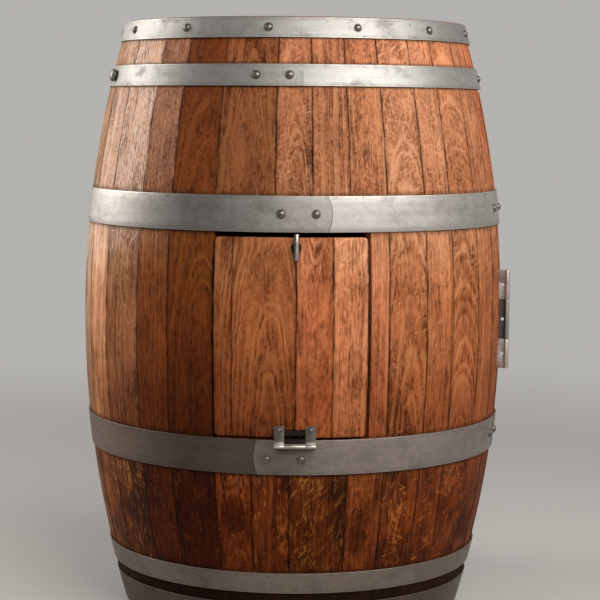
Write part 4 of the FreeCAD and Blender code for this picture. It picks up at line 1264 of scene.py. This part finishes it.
def lowest_corner(group):
    return tuple(round(min(vert.co[axis] for vert in group), 4) for axis in range(3))


def islands(work):
    """Groups of joined vertices of a bmesh, in the order of their lowest corners."""
    left = set(work.verts)
    groups = []
    while left:
        group, reached = [], [left.pop()]
        while reached:
            vert = reached.pop()
            group.append(vert)
            near = {link.other_vert(vert) for link in vert.link_edges} & left
            left -= near
            reached += near
        groups.append(group)
    return sorted(groups, key=lowest_corner)


def along_y(place):
    return place.x, 0.0, place.y


def round_barrel(place):
    return place.z, 0.0, math.atan2(place.x, -place.y) * BILGE_RADIUS


def inner_piece(node, body, flat_of, first_seed, stain="tan"):
    """A wooden piece inside the barrel; flat_of turns a place into across, depth and along the grain."""
    work = eased_copy(node, INNER_ROUNDING)
    axis = 0 if flat_of is along_y else 2
    spans = [[pick(vert.co[axis] for vert in group) for pick in (min, max)] for group in islands(work)]
    sliced(work, axis, [place for low, high in spans for place in (low + EDGE_STRIP, high - EDGE_STRIP)])
    layers = new_layers(work, OAK_LAYERS)
    figures = tuple(FIGURES.values())
    for number, group in enumerate(islands(work)):
        places = [flat_of(vert.co) for vert in group]
        low = min(place[0] for place in places)
        high = max(place[0] for place in places)
        shade = INNER_SHADE + INNER_SHADE_SPREAD * rng.random()
        colour = (*(part * shade for part in STAINS[stain]), 1.0)
        figure = figures[number % len(figures)]
        for vert, (across, depth, along) in zip(group, places):
            flat = (across - (low + high) / 2, depth, along)
            traits = (first_seed + number * INNER_SEED_STEP, INNER_FLECK, min(across - low, high - across))
            mark(vert, layers, flat, figure, traits, colour, colour)
    piece(node + "_wood", mesh_of(work, node), OAK, body, "inner_oak", node)


inner_piece("top_head", "barrel", along_y, 70.0, "amber")
inner_piece("bottom_head", "barrel", along_y, 83.0, "brown")
inner_piece("shelf", "barrel", along_y, 90.0)
inner_piece("shelf_cleats", "barrel", round_barrel, 93.0)
inner_piece("front_door_battens", "front_door", round_barrel, 101.0)
inner_piece("side_door_battens", "side_door", round_barrel, 105.0)

# Fittings by node, body, finish and rounding of their edges
FITTINGS = (
    ("front_hinge_frame_leaf", "barrel", FRONT_HINGE_STEEL, 0.0004),
    ("front_hinge_pin", "barrel", FRONT_HINGE_STEEL, 0.0003),
    ("front_hinge_door_leaf", "front_door", FRONT_HINGE_STEEL, 0.0004),
    ("front_pull", "front_door", PULL_STEEL, 0.0007),
    ("side_hinge_frame_leaf", "barrel", SIDE_HINGE_STEEL, 0.0004),
    ("side_hinge_pin", "barrel", SIDE_HINGE_STEEL, 0.0004),
    ("side_hinge_door_leaf", "side_door", SIDE_HINGE_STEEL, 0.0004),
    ("side_strike_plate", "side_door", HINGE_STEEL, 0.0003),
    ("side_catch", "barrel", CATCH_PLASTIC, 0.0010),
)
FITTING_SLOTS = {PULL_STEEL: "pull_steel", CATCH_PLASTIC: "catch_plastic"}
for node, body, finish, width in FITTINGS:
    mesh = mesh_of(eased_copy(node, width), node)
    piece(node + "_fitting", mesh, finish, body, FITTING_SLOTS.get(finish, "hinge_steel"), node)


# Floor, light and camera

BACKDROP = (0.46, 0.447, 0.432, 1.0)
FILL = (0.185, 0.180, 0.174, 1.0)
FLOOR_COLOUR = (0.64, 0.62, 0.595, 1.0)
FLOOR_BOUNCE = (0.30, 0.285, 0.27, 1.0)
FLOOR_REACH = 40.0
FLOOR_FADE = (0.7, 3.2)


def seen_directly(tree):
    """1 for what the camera, a gloss or glass shows, and 0 for what lights the object."""
    path = tree.add("ShaderNodeLightPath")
    glossy, through = path.part("Is Glossy Ray"), path.part("Is Transmission Ray")
    return path.part("Is Camera Ray").at_least(glossy).at_least(through)


def floor_finish():
    """Pale floor that runs into the backdrop's colour with distance."""
    material, tree, shader = new_finish("pale_floor")
    place = tree.place()
    x, y, _ = tree.split(place)
    distance = (x**2.0 + y**2.0) ** 0.5
    cloud = tree.noise(place, 3.0, 3.0, 3.0, 0.5) - 0.5
    seen = seen_directly(tree)
    colour = tree.mixed(seen * (0.97 + cloud * 0.1), FLOOR_BOUNCE, FLOOR_COLOUR)
    tree.feed(shader, Base_Color=colour, Roughness=0.75)
    near = Value(tree, shader.outputs[0])
    far = tree.add("ShaderNodeEmission", {"Color": tree.mixed(seen, FILL, BACKDROP), "Strength": 1.0})
    faded = tree.add("ShaderNodeMixShader", [distance.rising(*FLOOR_FADE), near, far])
    tree.feed(material.node_tree.nodes["Material Output"], Surface=faded)
    return material


floor_mesh = bpy.data.meshes.new("floor")
corners = [(x * FLOOR_REACH, y * FLOOR_REACH, 0.0) for x, y in ((-1, -1), (1, -1), (1, 1), (-1, 1))]
floor_mesh.from_pydata(corners, [], [(0, 1, 2, 3)])
floor_mesh.materials.append(floor_finish())
floor = in_scene("floor", floor_mesh)

world = bpy.data.worlds.new("studio")
world.use_nodes = True
sky = Tree(world.node_tree)
backdrop = sky.mixed(seen_directly(sky), FILL, BACKDROP)
sky.feed(world.node_tree.nodes["Background"], Color=backdrop, Strength=1.0)
bpy.context.scene.world = world

AIM = Vector((0.0, 0.0, 0.52))


def softbox(name, place, width, height, power, colour):
    """A rectangular lamp that faces the barrel."""
    lamp = bpy.data.lights.new(name, "AREA")
    lamp.shape = "RECTANGLE"
    lamp.size = width
    lamp.size_y = height
    lamp.energy = power
    lamp.color = colour
    item = in_scene(name, lamp)
    item.location = place
    item.rotation_euler = (AIM - Vector(place)).to_track_quat("-Z", "Y").to_euler()


softbox("key", (1.34, -1.56, 1.90), width=3.0, height=1.5, power=67.0, colour=(0.975, 0.955, 0.925))
softbox("left_rim", (-1.86, 0.48, 1.45), width=1.2, height=1.3, power=24.0, colour=(1.0, 0.97, 0.94))

CAMERA_PLACE = Vector((0.0, -3.135, 0.8074))
CAMERA_PITCH = math.radians(5.696)
CAMERA_ROLL = math.radians(0.475)
camera_data = bpy.data.cameras.new("camera")
camera_data.sensor_width = 36.0
camera_data.lens = 113.34
camera_data.shift_x = 0.0112
camera = in_scene("camera", camera_data)
tilt = Matrix.Rotation(math.pi / 2 - CAMERA_PITCH, 4, "X") @ Matrix.Rotation(CAMERA_ROLL, 4, "Z")
camera.matrix_world = Matrix.Translation(CAMERA_PLACE) @ tilt
bpy.context.scene.camera = camera
bpy.context.scene.view_settings.view_transform = "Standard"
